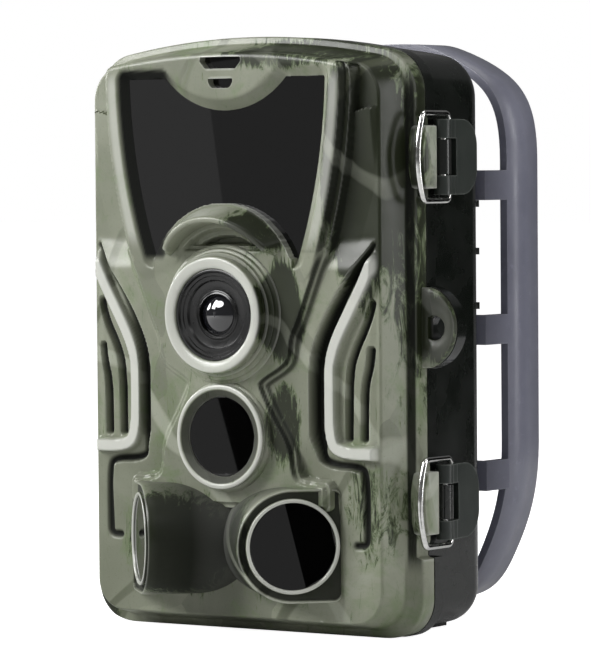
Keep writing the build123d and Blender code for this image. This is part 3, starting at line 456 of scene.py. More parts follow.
def path_distance(x, z, path, near=12.0):
    """Distance from each point to a path, at most near, and its side, positive on the path's left."""
    path = np.array(path, float)
    best, side = np.full(x.shape, near), np.ones(x.shape)
    inside = ((x > path[:, 0].min() - near) & (x < path[:, 0].max() + near)
              & (z > path[:, 1].min() - near) & (z < path[:, 1].max() + near))
    px, pz = x[inside], z[inside]
    found, sign = best[inside], side[inside]
    for (ax, az), (bx, bz) in zip(path[:-1], path[1:]):
        dx, dz = bx - ax, bz - az
        along = np.clip(((px - ax) * dx + (pz - az) * dz) / (dx * dx + dz * dz), 0, 1)
        gap = np.hypot(px - ax - along * dx, pz - az - along * dz)
        closer = gap < found
        found = np.where(closer, gap, found)
        sign = np.where(closer, np.sign(dx * (pz - az) - dz * (px - ax) + 1e-12), sign)
    best[inside], side[inside] = found, sign
    return best, side


def area_distance(x, z, outline, near=12.0):
    """Signed distance to a closed outline, negative inside it."""
    outline = np.array(outline, float)
    gap, _ = path_distance(x, z, np.concatenate((outline, outline[:1])), near)
    crossings = np.zeros(x.shape, int)
    for (ax, az), (bx, bz) in zip(outline, np.roll(outline, -1, 0)):
        if az == bz:
            continue
        spans = (az > z) != (bz > z)
        crossings += spans & (x < (bx - ax) * (z - az) / (bz - az) + ax)
    return np.where(crossings % 2 == 1, -gap, gap)


# ---------------------------------------------------------------- front cover: lines of the relief
WINDOW_TOP, WINDOW_HALF = 125.4, 26.6
WINDOW_MIDDLE, WINDOW_TIP = (24.6, 105.5), (19.3, 85.2)
TONGUE_Z, TONGUE_RADIUS = 140.4, 22.4
ARCH_Z, ARCH_RADIUS = 77.4, 20.0
LENS_Z, PIR_Z = 72.4, 44.9
BEVEL, BEAD, STEP = 2.6, 5.6, 7.2
BEAD_DEPTH, STEP_DEPTH, GLASS_DEPTH = -5.0, -3.0, -2.9
BODY_DEPTH, CHANNEL_FLOOR, SLOT_FLOOR = -4.5, 0.8, 1.3
SHELL_DEPTH = 2.2
POD_HOLE_X, POD_HOLE_HALF, POD_HOLE_RISE = 12.4, 12.6, 8.9
LENS_HOLE, PIR_HOLE = 6.9, 9.0

BODY_EDGE = ((26.3, 86.6), (23.8, 81.0), (20.0, 71.4), (17.8, 67.4), (17.5, 62.9), (15.6, 60.9),
             (9.5, 57.6), (9.5, 56.0), (12.9, 49.5), (17.2, 42.8), (17.6, 37.0), (19.2, 34.4), (26.0, 34.0))
CHANNEL = ((32.7, 21.2), (35.3, 21.3), (35.45, 24.0), (35.5, 36.8), (34.0, 38.9), (25.8, 39.1),
           (23.7, 41.5), (23.6, 60.0), (24.6, 65.5), (27.2, 71.5), (30.3, 77.0), (34.0, 82.5), (37.8, 88.0))
RIDGE = ((38.9, 41.8), (29.5, 41.8), (26.7, 44.6), (26.6, 60.0), (27.0, 62.5), (28.6, 67.0), (32.0, 73.0),
         (35.6, 79.2), (38.9, 86.0))
CREASE = ((38.9, 104.6), (36.5, 95.3), (33.3, 86.3), (31.4, 82.4))
SLOTS = (((37.2, 75.0), (36.0, 70.5), (33.0, 65.0), (31.3, 60.0), (31.1, 45.2)),
         ((37.0, 64.7), (36.6, 61.0), (35.3, 56.5), (35.2, 45.2)))
TONGUE_SLOTS = ((129.0, 5.57, 1.35), (124.3, 3.47, 1.05))


def window_outline():
    """The infrared window, anticlockwise from its upper right corner."""
    notch = math.degrees(math.asin((TONGUE_Z - WINDOW_TOP) / TONGUE_RADIUS))
    tip = math.degrees(math.asin((WINDOW_TIP[1] - ARCH_Z) / ARCH_RADIUS))
    right = through((WINDOW_HALF, WINDOW_TOP), WINDOW_MIDDLE, WINDOW_TIP, 24)
    arch = arc((0, ARCH_Z), ARCH_RADIUS, tip, 180 - tip, 48)
    tongue = arc((0, TONGUE_Z), TONGUE_RADIUS, 180 + notch, 360 - notch, 48)
    left = right[::-1] * (-1, 1)
    return np.concatenate((right, arch, left, tongue))


def side_panels(right, z):
    """Depth of the cover outside its raised body, the distance to its channel, and the painted highlight
    share on its side ridge.
    """
    apron = -2.7 + 2.2 * smooth(46.0, 35.0, z) + 0.5 * smooth(33.0, 23.0, z)
    channel, side = path_distance(right, z, curved(CHANNEL), 40.0)
    inner = np.where(side > 0, channel, -channel)
    # facets above the channel fall from the crease
    crease, crease_side = path_distance(right, z, curved(CREASE, 2), 14.0)
    fall = -0.11 * np.where(crease_side < 0, crease, 0.0) * smooth(80.0, 86.0, z)
    outer = -0.4 * smooth(38.6, 36.5, right) * smooth(40.0, 42.0, z) + fall
    depth = apron * smooth(-0.4, 0.4, inner) + outer * smooth(0.4, -0.4, inner)
    depth = mixed(depth, fall, smooth(82.0, 90.0, z))
    # the raised ridge outside the channel
    ridge, _ = path_distance(right, z, curved(RIDGE))
    along = smooth(39.2, 37.6, right) * (1 - smooth(84.0, 87.0, z))
    height = -2.15 * smooth(1.95, 1.15, ridge) * along
    depth = np.minimum(depth, np.where(inner < 0, height, 0.0))
    return depth, channel, smooth(1.7, 0.9, ridge) * along


def window_frame(x, z, rim, depth):
    """The depth with the frame's step and bead round the window, and the bevel down to the pane."""
    right = np.abs(x)
    zone = smooth(80.5, 84.5, z + 0.35 * (right - 18.0))
    tongue = (np.hypot(x, z - TONGUE_Z) < TONGUE_RADIUS) & (z > 110.0)
    depth = mixed(depth, np.minimum(depth, STEP_DEPTH), smooth(STEP + 0.5, STEP, rim) * zone)
    bead = np.where(tongue, 1.0, smooth(BEAD + 0.45, BEAD - 0.1, rim))
    depth = mixed(depth, np.minimum(depth, BEAD_DEPTH), bead * zone)
    foot, crest = GLASS_DEPTH + 0.35, BEAD_DEPTH + 0.15
    bevel = foot + (crest - foot) * np.clip(rim / BEVEL, 0, 1)
    in_arch = (np.hypot(x, z - ARCH_Z) < ARCH_RADIUS + 0.4) & (z > ARCH_Z) & (right < 19.0)
    bevel = np.where(in_arch, depth, bevel)
    return mixed(depth, np.maximum(depth, bevel), smooth(BEVEL + 0.25, BEVEL - 0.25, rim))


def cover_relief(x, z):
    """Depth of the cover's face at each point, its painted shade, and its share of painted highlight on
    ridges.
    """
    right = np.abs(x)
    depth, channel, crest = side_panels(right, z)
    # two steps down from the body
    body_outline = np.concatenate((curved(BODY_EDGE, 2), [(26.0, 30.0), (-0.1, 30.0), (-0.1, 86.6)]))
    body = area_distance(right, z, body_outline)
    body_depth = BODY_DEPTH + 0.8 * smooth(60.0, 34.0, z)
    depth = np.minimum(depth, mixed(depth, body_depth + 0.95, smooth(1.75, 1.2, body)))
    depth = np.minimum(depth, mixed(depth, body_depth, smooth(0.45, 0.0, body)))
    rim = area_distance(x, z, window_outline())
    depth = window_frame(x, z, rim, depth)
    # floor of the channels and slots, with painted shade in them
    width = 0.85 + 0.75 * smooth(41.5, 46.0, z) - 1.2 * smooth(60.0, 88.0, z)
    depth = mixed(depth, CHANNEL_FLOOR, smooth(width + 0.35, width - 0.6, channel))
    recess = smooth(width + 0.35, width - 0.45, channel)
    for slot in SLOTS:
        gap, _ = path_distance(right, z, curved(slot))
        depth = mixed(depth, SLOT_FLOOR, smooth(1.25, 0.45, gap))
        recess = np.maximum(recess, smooth(1.1, 0.4, gap))
    # painted highlight on the side ridge and on the frame's crest
    frame_crest_highlight = smooth(BEVEL, BEVEL + 0.6, rim) * smooth(BEAD, BEAD - 1.4, rim)
    frame_crest_highlight *= smooth(86.0, 92.0, z) * smooth(20.0, 24.0, right) * smooth(128.0, 124.0, z)
    ridge = np.maximum(crest * smooth(0.0, 0.6, channel - width), 0.55 * frame_crest_highlight)
    # painted shade on the bevel to the left of the window, and painted dark lines of shade down the right of
    # body and frame
    left_bevel = smooth(BEVEL + 0.1, BEVEL - 0.7, rim) * smooth(12.0, 17.0, -x) * smooth(84.0, 86.0, z)
    body_side = smooth(4.0, 9.0, x) * smooth(35.0, 38.0, z) * smooth(88.0, 84.0, z)
    frame_side = smooth(22.0, 25.0, x) * smooth(84.0, 88.0, z) * smooth(129.0, 125.0, z)
    for shade in (left_bevel,
                  0.9 * body_side * smooth(0.62, 0.1, np.abs(body - 0.2)),
                  0.75 * body_side * smooth(0.62, 0.1, np.abs(body - 1.45)),
                  0.8 * frame_side * smooth(0.7, 0.1, np.abs(rim - BEAD - 0.2)),
                  0.7 * frame_side * smooth(0.7, 0.1, np.abs(rim - STEP - 0.3))):
        recess = np.maximum(recess, shade)
    return depth, recess, ridge


def tongue_slot(x, z):
    """Distance to the two six-sided slots in the tongue, negative inside them."""
    gap = np.full(x.shape, 50.0)
    for centre, half, rise in TONGUE_SLOTS:
        u, v = np.abs(x), z - centre
        slant = (u - half + 0.75 * np.maximum(0.35 - v, 0)) * 0.8
        gap = np.minimum(gap, np.maximum(np.abs(v) - rise, slant))
    return gap


def openings(x, z):
    """Distance to the nearest through opening of the cover, negative inside it."""
    across, up = (np.abs(x) - POD_HOLE_X) / POD_HOLE_HALF, (z - POD_Z) / POD_HOLE_RISE
    pods = (np.hypot(across, up) - 1) * POD_HOLE_RISE
    gap = np.minimum(np.hypot(x, z - LENS_Z) - LENS_HOLE, np.hypot(x, z - PIR_Z) - PIR_HOLE)
    gap = np.minimum(np.minimum(gap, pods), tongue_slot(x, z))
    return np.minimum(gap, area_distance(x, z, window_outline(), 6.0))


# ---------------------------------------------------------------- front cover: shell
COLUMNS, SIDE_ROWS, CORNER_ROWS = 232, 326, 16
CASE_HALF, CASE_TOP, CROWN = 43.6, 135.0, 190.0
LOW_CORNER, TOP_CORNER = 9.0, 10.0
BEND_START = 70.0
CROWDING = 0.35
TOP_SHARE = 0.78


def outline_grid(inset):
    """Grid of points that fills the case outline, moved in from the flange by this much."""
    half, low, top = CASE_HALF - inset, 0.85 * inset, CASE_TOP - TOP_SHARE * inset
    low_r, top_r = LOW_CORNER - 0.45 * inset, TOP_CORNER - 0.45 * inset
    corner_x = half - top_r
    crown_z = top - CROWN
    corner_z = crown_z + math.sqrt((CROWN - top_r) ** 2 - corner_x**2)
    last = math.atan2(corner_z - crown_z, corner_x)
    turn = np.linspace(0, math.pi / 2, CORNER_ROWS, endpoint=False)
    foot = [(half - low_r + low_r * math.sin(a), low + low_r * (1 - math.cos(a))) for a in turn]
    wall = [(half, height) for height in np.linspace(low + low_r, corner_z, SIDE_ROWS, endpoint=False)]
    head = [(corner_x + top_r * math.cos(a), corner_z + top_r * math.sin(a))
            for a in np.linspace(0, last, CORNER_ROWS)]
    edge = np.array(foot + wall + head)
    even = np.linspace(-1, 1, COLUMNS)
    share = even * (1 + CROWDING - CROWDING * np.abs(even))
    x = edge[:, :1] * share
    bend = np.clip((edge[:, 1:] - BEND_START) / (edge[-1, 1] - BEND_START), 0, 1) ** 2
    crown = np.sqrt(CROWN**2 - x**2) - np.sqrt(CROWN**2 - edge[:, :1] ** 2)
    return x, edge[:, 1:] + bend * crown


def border(grid):
    """The grid's outer loop, anticlockwise from the lower left."""
    return np.concatenate((grid[0, :-1], grid[:-1, -1], grid[-1, :0:-1], grid[:0:-1, 0]))


SNAP = 0.12


def cut_front(x, z, depth, tones, gap):
    """The face's points, their tones and its polygons, with the openings cut out."""
    rows, columns = x.shape
    points = np.column_stack((x.ravel(), depth.ravel(), z.ravel()))
    shade, gap = np.column_stack([tone.ravel() for tone in tones]), gap.ravel().copy()
    gap[np.abs(gap) < SNAP] = 0.0
    index = np.arange(rows * columns).reshape(rows, columns)
    quads = np.stack((index[:-1, :-1], index[:-1, 1:], index[1:, 1:], index[1:, :-1]), -1).reshape(-1, 4)
    solid = (gap[quads] > 0).all(1)
    faces = [tuple(q) for q in quads[solid]]
    mixed = quads[~solid & (gap[quads] > 0).any(1)]
    points, shade = points.tolist(), shade.tolist()
    made = {}

    def crossing(a, b):
        key = (min(a, b), max(a, b))
        if key not in made:
            share = gap[a] / (gap[a] - gap[b])
            made[key] = len(points)
            points.append([p + (q - p) * share for p, q in zip(points[a], points[b])])
            shade.append(shade[a])
        return made[key]

    for quad in mixed:
        polygon = []
        for a, b in zip(quad, np.roll(quad, -1)):
            if gap[a] >= 0:
                polygon.append(int(a))
            if gap[a] * gap[b] < 0:
                polygon.append(crossing(int(a), int(b)))
        if len(polygon) > 2:
            faces.append(tuple(polygon))
    return points, shade, faces


def boundary_loops(faces):
    """Closed loops of the edges that only one face uses."""
    used = {}
    for face in faces:
        for a, b in zip(face, face[1:] + face[:1]):
            used[(a, b)] = used.get((a, b), 0) + 1
    following = {a: b for (a, b) in used if (b, a) not in used}
    loops = []
    while following:
        start, nxt = following.popitem()
        loop = [start]
        while nxt != start:
            loop.append(nxt)
            nxt = following.pop(nxt)
        loops.append(loop)
    return loops


FACE_INSET, FACE_HALF = 4.72, 38.95
TOP_ROUNDING = 0.9
# depth and inset of each ring from the face's edge round the flange to the inner face
SHELL_PROFILE = ((0.10, 4.50), (0.42, 4.26), (0.90, 4.13), (7.30, 2.42), (7.75, 2.20), (8.0, 1.75),
                 (8.02, 0.55), (8.12, 0.22), (8.42, 0.04), (8.75, 0.0), (12.1, 0.0), (12.42, 0.12),
                 (12.55, 0.42), (12.55, 3.3), (12.3, 3.5), (3.2, 5.2), (SHELL_DEPTH, 5.6))
FLANGE_DEPTH, FLANGE_INSET, FOOT_FLARE = 7.9, 2.0, 1.6


def front_cover():
    """The cover: relief face with its openings, drafted wall, flange and the hollow behind."""
    shell = Shell()
    x, z = outline_grid(FACE_INSET)
    depth, recess, ridge = cover_relief(x, z)
    # the relief dies out at the sides, and turns over a rounded edge at the top
    depth = depth * smooth(0.0, 1.1, FACE_HALF - np.abs(x))
    top_gap = CASE_TOP - TOP_SHARE * FACE_INSET - CROWN + np.sqrt(CROWN**2 - x**2) - z
    depth = depth * (1 - 0.16 * (1 - np.sqrt(np.clip(top_gap / TOP_ROUNDING, 0, 1))))
    points, shade, faces = cut_front(x, z, depth, (recess, ridge), openings(x, z))
    loops = boundary_loops(faces)
    base = shell.add(points, faces, *np.transpose(shade))
    # walls of the openings back to the inner face
    inner_loops = []
    for loop in sorted(loops, key=len)[:-1]:
        start = shell.add([(points[i][0], SHELL_DEPTH, points[i][2]) for i in loop], [])
        inner_loops.append(range(start, start + len(loop)))
        shell.band([base + i for i in loop], inner_loops[-1])
    # outer wall, flange and inner wall
    previous = (base + border(np.arange(x.size).reshape(x.shape))).tolist()
    for depth, inset in SHELL_PROFILE:
        ring = border(np.stack(outline_grid(inset), -1))
        side, height = np.abs(ring[:, 0]), ring[:, 1]
        # painted shade on the flange's front face along both sides
        dark = 0.0
        if FLANGE_DEPTH - 0.2 < depth < FLANGE_DEPTH + 0.4 and inset > 0.3:
            dark = 0.9 * smooth(40.0, 41.0, side) * smooth(14.0, 20.0, height) * smooth(128.0, 122.0, height)
        if depth > FLANGE_DEPTH and inset < FLANGE_INSET:
            flare = smooth(18.5, 18.1, height) * smooth(34.0, 40.0, side) * (1 - inset / 2.4)
            ring[:, 0] += np.sign(ring[:, 0]) * FOOT_FLARE * flare
        start = shell.add(np.insert(ring, 1, depth, axis=1), [], dark)
        current = range(start, start + len(ring))
        shell.band(previous, current)
        previous = current
    # inner face, flat, with the same openings
    flat_loops = [previous] + inner_loops
    ids = [i for loop in flat_loops for i in loop]
    places = [Vector((shell.points[i][0], shell.points[i][2])) for i in ids]
    edges, at = [], 0
    for loop in flat_loops:
        edges += [(at + i, at + (i + 1) % len(loop)) for i in range(len(loop))]
        at += len(loop)
    out, _, triangles, origins, _, _ = delaunay_2d_cdt(places, edges, [], 1, 1e-7)
    names = [ids[o[0]] if o else None for o in origins]
    for k, name in enumerate(names):
        if name is None:
            names[k] = shell.add([(out[k][0], SHELL_DEPTH, out[k][1])], [])
    middles = np.array([(out[a] + out[b] + out[c]) / 3 for a, b, c in triangles])
    opened = np.zeros(len(triangles), bool)
    for loop in inner_loops:
        hole = [(shell.points[i][0], shell.points[i][2]) for i in loop]
        opened |= area_distance(*middles.T, hole) < 0
    shell.faces.extend([tuple(names[i] for i in t) for t, gone in zip(triangles, opened) if not gone])
    add_cover_fittings(shell)
    make_piece("front_cover_shell", shell, "camo_plastic", ("front_cover",), 50.0)


def add_ring_steps(shell):
    """Stepped collars round the lens and the middle sensor."""
    lens = ((13.0, -3.5), (13.0, -6.6), (13.35, -6.8), (13.9, -6.75), (14.0, -6.45), (14.05, -6.0),
            (14.25, -5.85), (14.75, -5.8), (14.85, -5.55), (14.9, -5.25), (15.1, -5.1), (15.55, -5.05),
            (15.75, -4.8), (15.8, -3.5))
    boss = ((LENS_HOLE, -3.5), (LENS_HOLE, -5.75), (13.05, -5.75), (13.05, -3.5))
    pir = ((PIR_HOLE, -3.2), (PIR_HOLE, -4.95), (11.9, -4.95), (12.2, -4.85), (12.5, -4.5), (12.6, -4.0),
           (12.6, -3.2))
    for profile, height in ((lens, LENS_Z), (boss, LENS_Z), (pir, PIR_Z)):
        loft(shell, lathe(profile, 0, height, 160), loop=True)


HOOD_Z, HOOD_REACH = 76.8, 58.5
HOOD_ROOT, HOOD_ROOT_R, HOOD_RIM_R = -4.6, 20.4, 17.35


def add_hood(shell):
    """The eyebrow over the lens: a flared arch whose rim falls back towards both ends."""
    rings = []
    for angle in np.radians(np.linspace(90 - HOOD_REACH, 90 + HOOD_REACH, 97)):
        fall = 1 - abs(math.degrees(angle) - 90) / HOOD_REACH
        lift = math.sin(0.5 * math.pi * min(1.0, fall * 1.02)) ** 0.75
        tip = smooth(0.0, 0.10, fall)
        root_r, rim_r = HOOD_ROOT_R - 0.9 * (1 - tip), HOOD_RIM_R + 0.5 * (1 - tip)
        rim = HOOD_ROOT + (-7.4 - 4.3 * lift - HOOD_ROOT) * (0.35 + 0.65 * tip)
        inner_r = rim_r - 1.25
        section = ((root_r, -1.5), (root_r, -4.2), (root_r - 0.35, -4.9), (rim_r + 0.62, rim + 0.9),
                   (rim_r + 0.30, rim + 0.22), (rim_r, rim), (rim_r - 0.42, rim - 0.02),
                   (rim_r - 0.78, rim + 0.16), (rim_r - 0.98, rim + 0.55), (inner_r, -4.9), (inner_r, -3.2),
                   (rim_r - 0.2, -1.5))
        rings.append([(r * math.cos(angle), d, HOOD_Z + r * math.sin(angle)) for r, d in section])
    loft(shell, rings)


POD_X, POD_DEPTH, POD_Z = 21.2, -8.3, 21.2
POD_RADIUS, POD_BORE, POD_OUTER, POD_CORNER = 12.75, 9.9, 10.9, 1.6
LEAN = math.sqrt(0.5)
PODS = {"right": 1, "left": -1}


def pod_place(side):
    """Turns face coordinates of a side pod, u outward, v up and w forward, into (x, depth, z)."""
    def place(u, v, w):
        return (side * (POD_X + LEAN * u + LEAN * w), POD_DEPTH + LEAN * u - LEAN * w, POD_Z + v)
    return place


def pod_outline(inset, steps=96):
    """Round on the inner side, square on the outer side, as (u, v) rows."""
    radius = POD_RADIUS - inset
    u, v = POD_OUTER - 0.1 * inset - POD_CORNER, radius - POD_CORNER
    return np.concatenate((arc((0, 0), radius, 90, 270, steps), arc((u, -v), POD_CORNER, -90, 0, 9),
                           arc((u, v), POD_CORNER, 0, 90, 9)))


def add_pod(shell, side):
    """A tilted sensor barrel with a fine raised rim round its mouth."""
    place = pod_place(side)
    rings, shade = [], []
    # each ring's tone is painted shade: dark deep in the barrel and inside the mouth, none on the rim
    for inset, w, tone in ((0.0, -21.0, 0.9), (0.0, -10.0, 0.7), (0.0, -2.5, 0.45), (0.0, -0.75, 0.1),
                           (0.10, -0.30, 0.0), (0.28, -0.08, 0.0), (0.46, -0.10, 0.0), (0.62, -0.35, 0.5),
                           (0.80, -0.62, 0.9)):
        rings.append([place(u, v, w) for u, v in pod_outline(inset)])
        shade.append(tone)
    mouth = pod_outline(0.85)
    angles = np.arctan2(mouth[:, 1], mouth[:, 0])
    for radius, w in ((10.75, -0.62), (10.4, -0.62), (10.05, -0.7), (POD_BORE, -1.0), (POD_BORE, -15.0)):
        rings.append([place(radius * math.cos(a), radius * math.sin(a), w) for a in angles])
        shade.append(0.9)
    loft(shell, rings, loop=True, recess=np.repeat(shade, len(mouth)))


def slab(shell, outline, low, high, make_point, edge=0.25, hole=None):
    """A flat part with rounded edges: outline rows swept from low to high along the third direction."""
    outline = np.array(outline, float)
    away = outline - outline.mean(0)
    away /= np.linalg.norm(away, axis=1, keepdims=True)
    rings = []
    for inset, level in ((edge, low), (edge * 0.3, low + edge * 0.3), (0, low + edge),
                         (0, high - edge), (edge * 0.3, high - edge * 0.3), (edge, high)):
        rings.append([make_point(u, v, level) for u, v in outline - away * inset])
    if hole:
        (cu, cv), radius = hole
        angles = np.arctan2(outline[:, 1] - cv, outline[:, 0] - cu)
        for grow, level in ((0.25, high), (0.0, high - 0.25), (0.0, low + 0.25), (0.25, low)):
            wall = radius + grow
            wall_u, wall_v = cu + wall * np.cos(angles), cv + wall * np.sin(angles)
            rings.append([make_point(u, v, level) for u, v in zip(wall_u, wall_v)])
    loft(shell, rings, loop=bool(hole))


LATCH_HEIGHTS, CATCH_HALF, CATCH_X, NOTCH_HALF, NOTCH_X = (30.5, 107.4), 7.0, (42.6, 46.6), 9.2, (42.6, 44.1)
TAB_Z, PADLOCK_X, PADLOCK_R, TAB_DEPTH = 69.5, 46.75, 2.7, (10.25, 12.5)
HINGE_X, HINGE_DEPTH, HINGE_R, HINGE_LOWS, HINGE_PART = -45.9, 12.55, 1.95, (22.0, 89.0), (8.2, 15.8)
POST_X, POST_HEIGHTS = 35.0, (12.0, 66.0, 121.0)


def add_cover_fittings(shell):
    """Collars, hood, latch catches, padlock tab, hinge knuckles and screw posts."""
    add_ring_steps(shell)
    add_hood(shell)
    for height in LATCH_HEIGHTS:
        # catch: a block with a bowed front edge, and the notch wall behind the wire
        low, high = height - CATCH_HALF, height + CATCH_HALF
        front = through((8.1, low), (6.5, height), (8.1, high), 17)
        block = np.concatenate((front, [(12.4, high), (12.4, low)]))
        slab(shell, block, *CATCH_X, lambda d, v, level: (level, d, v), 0.45)
        low, high = height - NOTCH_HALF, height + NOTCH_HALF
        wall = rounded([(9.2, low), (12.5, low), (12.5, high), (9.2, high)], 0.8)
        slab(shell, wall, *NOTCH_X, lambda d, v, level: (level, d, v), 0.3)
    tab = np.concatenate((arc((42.3, TAB_Z), 9.4, -72, 72, 41), [(41.0, TAB_Z + 9.0), (41.0, TAB_Z - 9.0)]))
    slab(shell, tab, *TAB_DEPTH, lambda u, v, level: (u, level, v), 0.5, ((PADLOCK_X, TAB_Z), PADLOCK_R))
    barrel = np.concatenate((arc((HINGE_X, HINGE_DEPTH), HINGE_R, 90, 270, 17),
                             [(-43.0, 10.62), (-43.0, 12.5)]))
    for low in HINGE_LOWS:
        slab(shell, barrel, low + HINGE_PART[0], low + HINGE_PART[1], lambda u, v, level: (u, v, level), 0.15)
    for side in (1, -1):
        for height in POST_HEIGHTS:
            post = ((1.0, SHELL_DEPTH - 0.6), (1.0, 10.1), (1.2, 10.35), (2.7, 10.35), (2.9, 10.1),
                    (3.1, SHELL_DEPTH + 0.8), (3.6, SHELL_DEPTH + 0.1), (3.6, SHELL_DEPTH - 0.6))
            loft(shell, lathe(post, side * POST_X, height, 40), loop=True)


def offset_outline(outline, amount):
    """A closed outline moved outward by this much, with a mitre at each point."""
    ahead, behind = np.roll(outline, -1, 0) - outline, outline - np.roll(outline, 1, 0)
    turn = sum(np.column_stack((-edge[:, 1], edge[:, 0])) / np.linalg.norm(edge, axis=1)[:, None]
               for edge in (ahead, behind))
    return outline + amount * 2 * turn / np.sum(turn * turn, axis=1)[:, None]


def window_pane():
    """The infrared filter: a pane that rests on the lip at the foot of the bevel."""
    outline = window_outline()
    outline = outline[np.linalg.norm(outline - np.roll(outline, 1, 0), axis=1) > 0.05]
    shell = Shell()
    rings = []
    for margin, depth in ((-0.15, -0.7), (-0.15, -2.5), (0.28, -2.5), (0.28, GLASS_DEPTH + 0.1),
                          (0.18, GLASS_DEPTH)):
        rings.append([(x, depth, z) for x, z in offset_outline(outline, margin)])
    loft(shell, rings)
    make_piece("ir_window_pane", shell, "dark_window", ("ir_window",), 30.0)


front_cover()
window_pane()
for pod, pod_side in PODS.items():
    pod_shell = Shell()
    add_pod(pod_shell, pod_side)
    make_piece(f"sensor_pod_{pod}", pod_shell, "camo_plastic", (), 40.0)


# ---------------------------------------------------------------- bezels, lens and baffle
def ring_piece(name, profile, z, slot, replaced, plane=None, pale=(0, 0), dark=(0, 0), steps=160):
    """A turned ring; radii between the pale limits get a painted highlight, and between the dark limits
    painted shade.
    """
    shell = Shell()
    radii = np.array([radius for radius, _ in profile])
    crest = ((radii >= pale[0]) & (radii < pale[1])) * 0.9
    shade = ((radii >= dark[0]) & (radii < dark[1])) * 0.8
    loft(shell, lathe(profile, 0, z, steps, plane), True, np.tile(shade, steps), np.tile(crest, steps))
    make_piece(name, shell, slot, (replaced,), 38.0)


LENS_BEZEL = ((10.35, -5.8), (13.0, -5.8), (13.15, -6.4), (13.28, -7.8), (13.25, -8.5), (13.1, -8.95),
              (12.75, -9.22), (12.3, -9.26), (11.0, -8.98), (10.6, -8.78), (10.4, -8.5))
LENS_BAFFLE = ((4.75, -5.8), (10.3, -5.8), (10.3, -8.3), (10.1, -8.42), (9.75, -8.38), (9.6, -8.1),
               (9.45, -7.85), (8.9, -7.8), (8.75, -7.55), (7.9, -7.5), (7.7, -7.2), (7.55, -6.95),
               (6.2, -6.7), (5.75, -6.75), (5.6, -7.0), (5.3, -7.12), (5.1, -6.95), (4.95, -7.05),
               (4.78, -7.1))
PIR_BEZEL = ((9.05, -5.0), (11.4, -5.0), (11.75, -5.4), (11.86, -6.0), (11.7, -6.45), (11.35, -6.66),
             (10.95, -6.64), (10.7, -6.5), (10.5, -6.4), (9.4, -5.9), (9.1, -5.7))
POD_BEZEL = ((9.72, -0.75), (9.72, -0.25), (9.8, 0.05), (10.05, 0.28), (10.3, 0.34), (10.52, 0.26),
             (10.66, 0.06), (10.7, -0.3), (10.7, -0.7))
# the bezels carry a painted highlight band; the middle sensor's bezel also carries painted shade on its inner
# slope
ring_piece("lens_bezel_ring", LENS_BEZEL, LENS_Z, "camo_trim", "lens_bezel", pale=(10.5, 12.8))
ring_piece("lens_baffle_rings", LENS_BAFFLE, LENS_Z, "lens_plastic", "lens_baffle")
ring_piece("pir_bezel_ring_centre", PIR_BEZEL, PIR_Z, "camo_trim", "pir_bezel_centre", pale=(10.8, 11.8),
           dark=(9.08, 10.6))
for pod, pod_side in PODS.items():
    ring_piece(f"pir_bezel_ring_{pod}", POD_BEZEL, 0, "camo_trim", f"pir_bezel_{pod}", pod_place(pod_side),
               pale=(9.75, 10.6))

DOME_RADIUS, DOME_TIP, DOME_HALF = 6.4, -8.0, 4.5
dome = Shell()
dome_profile = [(DOME_RADIUS * math.sin(a), DOME_TIP + DOME_RADIUS * (1 - math.cos(a)))
                for a in np.linspace(0.004, math.asin(DOME_HALF / DOME_RADIUS), 20)]
dome_profile += [(DOME_HALF, -6.2), (0.03, -6.15)]
loft(dome, lathe(dome_profile, 0, LENS_Z, 96), loop=True)
make_piece("front_lens_dome", dome, "lens_glass", ("lens_front_element",), 30.0)


# ---------------------------------------------------------------- carried-over CAD nodes
def dress_cad_nodes():
    """Finish from the record's slot, softened edges and smooth shading on every CAD node that stays."""
    slot_of = {part["node"]: part["material_slot"] for part in frame["record"]["subparts"]}
    for name, node in frame["nodes"].items():
        if node.hide_render:
            continue
        slot = slot_of[name]
        node.data.materials.clear()
        node.data.materials.append(FINISHES[slot])
        node.modifiers.new("weld", "WELD").merge_threshold = 2e-6
        bevel = node.modifiers.new("soft_edges", "BEVEL")
        bevel.width = SOFT_EDGES.get(name, 0.00012)
        bevel.segments = 2
        bevel.limit_method = "ANGLE"
        bevel.angle_limit = math.radians(38)
        bevel.harden_normals = False
        node.data.polygons.foreach_set("use_smooth", [True] * len(node.data.polygons))
        node.modifiers.new("even_normals", "WEIGHTED_NORMAL").keep_sharp = False


SOFT_EDGES = {"rear_case": 0.0003, "tree_bracket": 0.0009, "lever_upper": 0.0003, "lever_lower": 0.0003,
              "bail_upper": 0.00003, "bail_lower": 0.00003, "aa_cells": 0.0003, "battery_springs": 0.00002}
dress_cad_nodes()


# ---------------------------------------------------------------- camera, stage and light
CAMERA_PLACE = Vector((0.5468, -0.80055, 0.1048))
CAMERA_AZIMUTH, CAMERA_ELEVATION, CAMERA_ROLL = (math.radians(a) for a in (34.411, 2.125, 0.455))
forward = Vector((-math.sin(CAMERA_AZIMUTH) * math.cos(CAMERA_ELEVATION),
                  math.cos(CAMERA_AZIMUTH) * math.cos(CAMERA_ELEVATION), -math.sin(CAMERA_ELEVATION)))
level_right = Vector((math.cos(CAMERA_AZIMUTH), math.sin(CAMERA_AZIMUTH), 0))
level_up = level_right.cross(forward)
camera_right = math.cos(CAMERA_ROLL) * level_right - math.sin(CAMERA_ROLL) * level_up
camera_up = math.sin(CAMERA_ROLL) * level_right + math.cos(CAMERA_ROLL) * level_up
camera = new_object("camera", bpy.data.cameras.new("camera"))
camera.matrix_world = (Matrix.Translation(CAMERA_PLACE)
                       @ Matrix((camera_right, camera_up, -forward)).transposed().to_4x4())
camera.data.sensor_width = 36.0
camera.data.lens = 232.07
camera.data.clip_start = 0.01
bpy.context.scene.camera = camera

OBJECT_CENTRE = Vector((0.0, 0.0, 0.0675))


